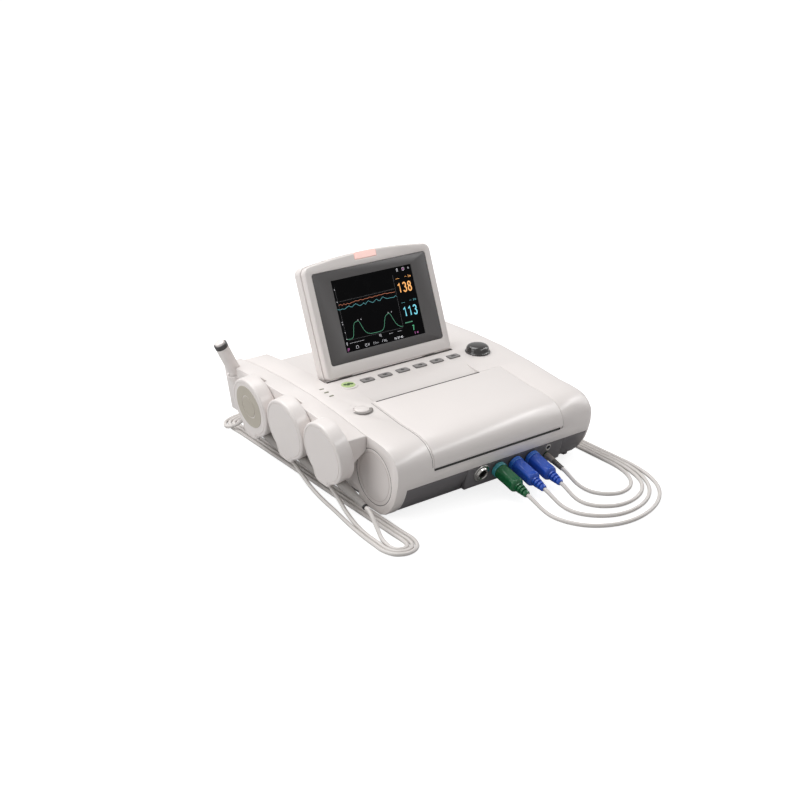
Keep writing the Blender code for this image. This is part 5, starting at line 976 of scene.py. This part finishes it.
MARKS += dashes(-49.8, -32.3, (1.6, 0.8, 1.2, 0.8, 1.5, 1, 0.6, 1.4, 1.2, 0.8, 1.6, 0.7))
MARKS += [ring_line(-6.8, -31.4, 1.2), [(-5.9, -32.2), (-4.8, -33.4)]]
MARKS += dashes(5.8, -32.4, (1.2, 0.8, 1, 0.8)) + dashes(18.4, -32.2, (1.1, 0.9, 1.1, 0.6))
MARKS += [
    ring_line(-40.8, -38, 1.5, 0, 180), [(-42.3, -38), (-42.5, -39.6), (-39.1, -39.6), (-39.3, -38)],
    ring_line(-28.4, -38.6, 1.6, 40, 320), [(-28.4, -38.6), (-27.2, -37.4)],
    [(-25.6, -37), (-25.6, -40)], [(-24.4, -37), (-24.4, -40)],
    [(-17.8, -40.2), (-17.8, -37.2), (-15.6, -40.2), (-15.6, -37.2)],
    [(-13.8, -38), (-13.8, -40)], [(-12.6, -39), (-11.2, -39)], [(-5.8, -40), (-4.4, -37)],
    ring_line(-2, -38.8, 1), [(-0.2, -37.4), (-0.2, -40), (1.4, -40)],
    ring_line(44.9, 38.2, 1.9, 200, 520), ring_line(52.6, 38.2, 0.8), ring_line(36.2, 39.3, 0.9),
    [(35, 36.8), (35.6, 38.2), (36.8, 38.2), (37.4, 36.8), (35, 36.8)],
    ring_line(-53.6, -31.4, 0.9), [(-53.6, -32.2), (-53.6, -34.2)],
]
add_marks("small_marks", MARKS, 0.42, WHITE_MARK)
add_clock("16 37 40", 12, -40.8, 2.6)
add_marks("violet_marks", [
    [(-54.6, -37.6), (-51.8, -37.6)], [(-54.6, -38.8), (-51.8, -38.8)], [(-54.8, -40), (-53, -40)],
    ring_line(44.9, 38.2, 1.1), [(42.4, -37.2), (42.4, -40)], ring_line(46.2, -38.8, 0.8),
], 0.6, MAGENTA_MARK)
add_marks("orange_marks", dashes(31.8, 28.2, (1, 1.4, 1.2)) + dashes(45, 28.8, (1.2, 0.7)) + [
    [(50.2, 27.4), (50.2, 30.2)], ring_line(52.6, 28.4, 0.8)], 0.55, ORANGE_DIGITS)
add_marks("cyan_marks", dashes(32.4, -0.8, (1, 1.4, 1.2)) + dashes(44.6, 0.2, (1.2, 0.7)) + [
    [(50.4, -1.2), (50.4, 1.8)], ring_line(52.8, 0.2, 0.8)], 0.5, CYAN_TRACE)
add_marks("green_marks", dashes(31.6, -24.8, (2, 2, 2, 2), 0.8), 1.3, GREEN_TRACE)


# Keys, start key and knob on the deck

DOWN = Vector((0, 0, -1))
deck, cover = bpy.data.objects["top_shell"], bpy.data.objects["cover_shell"]


def surface(piece, x, y):
    """Height in mm of a shell's upper side at a place on the device."""
    return piece.ray_cast(at(x, y, 130), DOWN)[1].z * 1000


def deck_level(x, y):
    """World height of the deck at a world place."""
    return deck.ray_cast(Vector((x, y, 0.13)), DOWN)[1].z


def middle_of(node):
    """Middle of a CAD piece seen from above, and its lowest and highest level."""
    low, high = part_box(node)
    return (low[0] + high[0]) / 2, (low[1] + high[1]) / 2, low[2], high[2]


def strokes(name, lines, width, place, material, flat=0.3, body="unit"):
    """Strokes lying in a plane, from points across and along it in mm: print, and painted shadow lines.
    """
    drawn = [[(*(v / 1000 for v in spot), *([0] * (3 - len(spot)))) for spot in line] for line in lines]
    piece = new_curve(name, drawn, width / 1000, 1)
    select_only(piece)
    bpy.ops.object.convert(target="MESH")
    if flat != 1:
        edit(piece)
        stretch((1, 1, flat))
        leave()
    settle(piece, name, place, material, body=body)


def rounded_sheet(wide, high, corner, segments):
    """Flat sheet in mm with round corners, all of it selected in edit mode."""
    bpy.ops.mesh.primitive_plane_add(size=1)
    piece = bpy.context.object
    edit(piece)
    stretch((wide / 1000, high / 1000, 1))
    bpy.ops.mesh.bevel(offset=corner / 1000, segments=segments, affect="VERTICES")
    all_faces()
    return piece


def rounded_plate(wide, deep, corner, steps):
    """Plate in mm with round corners, drawn up by insets and rises."""
    piece = rounded_sheet(wide, deep, corner, 6)
    draw_up(steps)
    leave(outwards=True)
    return piece


def strap(wide, high, thick, deep, corner=2.6):
    """Closed band in mm with round corners, open in the middle."""
    piece = rounded_sheet(wide, high, corner, 5)
    bpy.ops.mesh.inset(thickness=thick / 1000, depth=0)
    bpy.ops.mesh.delete(type="FACE")
    pick_all()
    raise_by(deep / 1000)
    pick_all()
    bpy.ops.transform.translate(value=(0, 0, -deep / 2000))
    leave(outwards=True)
    return piece


SYMBOLS = [
    [[(-2, -0.9), (-0.7, 1.1), (0.9, 1.1), (2, -0.5)], [(-1.6, -1.4), (1.6, -1.4)]],
    [[(-1.8, -1.2), (1.8, -1.2), (1.8, 1.2), (-1.8, 1.2), (-1.8, -1.2)], [(-0.6, 0), (0.8, 0)]],
    [[(-2, 0), (0, 1.7), (2, 0), (0, -1.7), (-2, 0)], [(-0.7, 0), (0.7, 0)]],
    [[(-1.8, 0), (1, 1.5), (1, -1.5), (-1.8, 0)], [(2, 1.3), (2, -1.3)]],
    [[(-1.9, 0.2), (0.1, 1.6), (2, 0.1), (0.1, -1.4), (-1.9, 0.2)], [(0.1, -0.6), (0.1, 0.8)]],
    [
        [(-2, -1.2), (-2, 1.2), (-0.2, 0.9), (1.9, 1.3), (1.9, -1.1), (-0.2, -1.4), (-2, -1.2)],
        [(-0.2, -1.3), (-0.2, 0.9)],
    ],
]
for number, symbol in enumerate(SYMBOLS, 1):
    node, body = f"key_{number}", f"button_{number}"
    x, y, _, top = middle_of(node)
    cap = rounded_plate(15.5, 9, 2.6, (
        (0, 1), (0.1, 0.2), (0.3, 0.2), (0.6, 0.1), (0.8, -0.1), (1.2, -0.15),
    ))
    settle(cap, f"{node}_cap", move((x, y, top - 0.0014)), KEY_GREY, (node,), body=body)
    symbol = [[(across * 1.2, up * 1.2) for across, up in line] for line in symbol]
    strokes(f"{node}_symbol", symbol, 1.15, move((x, y, top - 0.00003)), KEY_MARK, body=body)
    # Dark ring round the key, painted shadow of its gap in the deck
    place = move((x, y - 0.0001, deck_level(x + 0.011, y) - 0.0003))
    settle(strap(17.1, 10.6, 0.7, 1.2, 3.4), f"{node}_surround", place, KEY_GAP_SHADOW)

x, y, _, top = middle_of("start_key")
place = move((x, y, top))
start_cap = turned([
    (7.8, -1.6), (8, -1.4), (8, -0.5), (7.7, -0.1), (7, 0), (4, -0.12), (1, -0.2),
], 64)
settle(start_cap, "start_cap", place, START_GREEN, ("start_key",), body="start")
strokes("start_symbol", [[
    (-5.2, -0.6), (-4.5, 1.2), (-3.4, 1.9), (-2.4, 0.9), (-1.8, -1.1), (-0.8, -1.9), (0.2, -0.7),
    (0.8, 1.3), (1.8, 1.9), (2.7, 0.9), (3.3, -1.1), (4.2, -1.6), (5.2, 0.2),
]], 2.9, place @ move((0, 0, 0.0001)), START_MARK, 0.14, "start")
place = move((x, y, deck_level(x - 0.011, FRONT_DATUM + 0.15)))
lathe("start_key_ring", [(8.1, -0.8), (11.2, -0.8), (11.2, 0.1), (10.6, 0.4), (8.6, 0.4), (8.1, 0.1)],
      64, place, SHELL)

# Knob: low dome over a fluted skirt

place = move(middle_of("control_knob")[:3])
knob = turned([
    (14.8, 0), (15.4, 0.3), (15.5, 0.8), (15.5, 3), (15.5, 4.2), (15.1, 4.8), (14.4, 5.1), (14.1, 5.5),
    (13.8, 8), (13.3, 9.7), (12.2, 11.1), (10.3, 12.1), (7.6, 12.7), (4.5, 13), (1.5, 13.1),
], 96)
edit(knob)
pick("VERT", lambda v: 0.0006 < v.co.z < 0.0045 and round(atan2(v.co.y, v.co.x) / tau * 96) % 3 == 0)
stretch((0.975, 0.975, 1))
leave()
settle(knob, "knob_cap", place, KNOB, ("control_knob",), 40, "knob")

# Marker: wand with a dark band and a push button at its top

wand = turned([
    (2.6, -8), (3, -7.8), (3.2, -7), (3.4, -2), (4, -0.4), (6.4, 0), (7.4, 0.6), (7.8, 1.8), (7.8, 35),
    (7.6, 35.2), (7.6, 35.6), (7.8, 35.8), (7.8, 65.6), (7.6, 66.8), (7.3, 67),
], 64)
settle(wand, "marker_wand", MARKER, SHELL_SMOOTH, ("marker_handle",))
lathe("marker_band", [
    (6.4, 66.8), (7.6, 66.9), (7.9, 67.3), (7.9, 71.9), (7.7, 72.3), (6.6, 72.5), (6.4, 72.2),
], 64, MARKER, BAND)
button = turned([
    (5.8, 0), (6.1, 0.2), (6.2, 2.2), (6, 2.9), (5.5, 3.4), (4.4, 3.7), (2, 3.8), (0.6, 3.8),
])
settle(button, "marker_cap", MARKER @ move((0, 0, 0.0714)), SHELL_SMOOTH,
       ("marker_button",), body="marker_push")


# Painted shadow in the seams, gaps and slits

# Colours of painted shadow: near black in gaps and slits, dark grey under the screen
SHADOW_BLACK = moulded("painted_shadow_black", (0.022, 0.02, 0.019), 0.7, 0.2, 1400)
SCREEN_GAP_SHADOW = moulded("painted_screen_gap_shadow", (0.11, 0.1, 0.094), 0.7, 0.2, 1400)
SEAM_SHADE = moulded("seam_shadow", (0.16, 0.145, 0.135), 0.7, 0.2, 1400)
low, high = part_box("paper_cover")
cover_left, cover_right = ((end[0] - LEFT_END) * 1000 for end in (low, high))
cover_rear = (high[1] - FRONT_DATUM) * 1000


def nose_line(x, sink):
    """Points from the paper slit over the nose to the cover's rear edge, just under the surface."""
    hub, slit_top = at(x, 24, 60), 0.0556
    turns = [radians(degrees) for degrees in range(-4, 90, 2)]
    outs = [Vector((0, -cos(turn), sin(turn))) for turn in turns]
    rays = [(hub + out * 0.12, -out) for out in outs]
    rays += [(at(x, y, 130), DOWN) for y in range(27, ceil(cover_rear), 3)]
    hits = [deck.ray_cast(*ray) for ray in rays]
    return [place - normal * sink for hit, place, normal, _ in hits if hit and place.z > slit_top]


# Painted shadow lines in the cover's left and right seams, laid over the nose just under the shell's
# surface
for name, edge, side, sink, width, finish, slot in (
    ("left", cover_left, -1, 0.00008, 0.62, SEAM_SHADE, "dark_plastic"),
    ("right", cover_right, 1, 0.0003, 0.5, SHADE, "shell"),
):
    seam_x = at(edge + side * 0.15, 0, 0).x * 1000
    line = [(seam_x, spot.y * 1000, spot.z * 1000) for spot in nose_line(edge + side * 1.6, sink)]
    strokes(f"{name}_cover_seam_shade", [line], width, Matrix.Identity(4), finish, 1)

# Painted shadow along the cover's rear edge: a dark strip in the gap, a dark line in front of the
# finger scoop
level = surface(cover, 126, cover_rear - 2.5)
rise = (level - surface(cover, 126, cover_rear - 22.5)) / 20
rear_shadow = rounded_plate(148, 1.6, 0.3, ((0, 2), (0.15, 0.1)))
place = move(at(126, cover_rear - 0.6, level + 2 * rise - 1.98))
settle(rear_shadow, "cover_rear_shadow", place, SHADOW_BLACK, body="cover")

# Dark strips in the paper slit: painted shadow of the slit's inside
for name, z in (("lower", 53.1), ("upper", 54.25)):
    shadow_strip = rounded_plate(179, 2.8, 0.3, ((0, 1), (0.1, 0.1)))
    settle(shadow_strip, f"slit_{name}_lip", move(at(137.3, -11.25, z)), SHADOW_BLACK)

# Painted shadow strips in the gaps under the screen's lower edge and beside its left end
strip = rounded_plate(183.4, 1.2, 0.3, ((0, 3.5), (0.2, 0.2)))
settle(strip, "screen_foot_shadow", move(at(122.5, 169.5, 93.9)), SCREEN_GAP_SHADOW)
strip = rounded_plate(1.1, 13.5, 0.3, ((0, 3.4), (0.2, 0.2)))
place = move(at(31, 176, surface(deck, 29, 174) - 3.3))
settle(strip, "screen_side_shadow", place, SCREEN_GAP_SHADOW)

# Painted shadow lines in the end cap's round seam and at its inner step, and in the latch's round seam;
# the latch's raised front painted as a shaded strip
place = move((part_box("end_cap")[0][0], *at(0, 31.5, 42.5).yz)) @ OUTWARD
for name, inner, outer, low, high, finish, slot in (
    ("seam", 31.3, 32, -0.8, -0.1, SEAM_SHADE, "dark_plastic"),
    ("step", 26.8, 27.3, -1.4, -0.3, SHADE, "shell"),
):
    profile = [(inner, low), (outer, low), (outer, high), (inner, high)]
    lathe(f"end_cap_{name}", profile, 120, place, finish)
x, y, _, _ = middle_of("latch_button")
place = move((x, y, deck_level(x - 0.0105, y) - 0.0001))
for name, radius, width, finish, slot in (
    ("wall_shade", 9.9, 3.6, RELIEF, "shell"), ("seam", 12, 0.9, SEAM_SHADE, "dark_plastic"),
):
    arc = [(radius * cos(radians(turn)), radius * sin(radians(turn))) for turn in range(-172, -7, 6)]
    strokes(f"latch_{name}", [arc], width, place, finish, 0.25)
# Engraved triangle mark above the latch, its groove painted in the shade grey
x, y = x - 0.006, y + 0.013
strokes("latch_mark", [[(-1.2, 0), (1.2, 0.6), (0.6, -1.4), (-1.2, 0)]], 0.35,
        move((x, y, deck_level(x, y))), SHADE)


# Ties on the stored loops

TIE_RADIUS, TIE_HEIGHT = 0.0239, 0.00528
for cord_name, facts in CORDS.items():
    turns = facts["coil"][3]
    centre, _, start = coil_centre(*facts["coil"])
    side = Vector((cos(start + 2.6), sin(start + 2.6), 0))
    wide = (LOOP_PITCH * turns / 2 + CORD_DIAMETER) * 1000 + 1.4
    turn = Matrix((side, -DOWN, side.cross(-DOWN))).transposed().to_4x4()
    place = move(centre + side * TIE_RADIUS - DOWN * TIE_HEIGHT) @ turn
    tie = settle(strap(wide, 10.5, 0.6, 7.5), f"{cord_name}_tie", place, CABLE_TIE)
    CARRIED[cord_name].append(tie)

# Painted shadow of a deck slot beside the screen, rubber feet and screws underneath

slot_shade_plate = rounded_plate(10, 2.2, 1, ((0, 0.5), (0.2, 0.1)))
place = move(at(60, 259.5, surface(deck, 60, 259.5) - 0.42))
settle(slot_shade_plate, "deck_slot_shadow", place, SHADOW_BLACK)

for number, (x, y) in enumerate(((34, 42), (248, 42), (34, 288), (248, 288)), 1):
    foot = turned([(8, 0), (8.5, 0.3), (8.7, 0.9), (8.7, 2.1), (8.6, 2.2)])
    settle(foot, f"foot_pad_{number}", move(at(x, y, 0)), BLACK_RUBBER)
tray = bpy.data.objects["lower_tray"]
for number, (x, y) in enumerate(((60, 30), (222, 30), (34, 165), (248, 165), (60, 296), (222, 296)), 1):
    spot = tray.ray_cast(at(x, y, -50), -DOWN)[1]
    name = f"case_screw_{number}"
    screw = turned([(3.2, 0), (3.4, -0.2), (3.4, -1), (3.1, -1.4), (2, -1.6), (0.8, -1.5)], 32)
    settle(screw, name, move(spot - DOWN * 0.0004), STEEL)
    # Black cross on each screw head: painted shade of its cross recess
    cross = [[(-1.6, 0), (1.6, 0)], [(0, -1.6), (0, 1.6)]]
    strokes(f"{name}_slot", cross, 0.55, move(spot + DOWN * 0.0011), BORE)
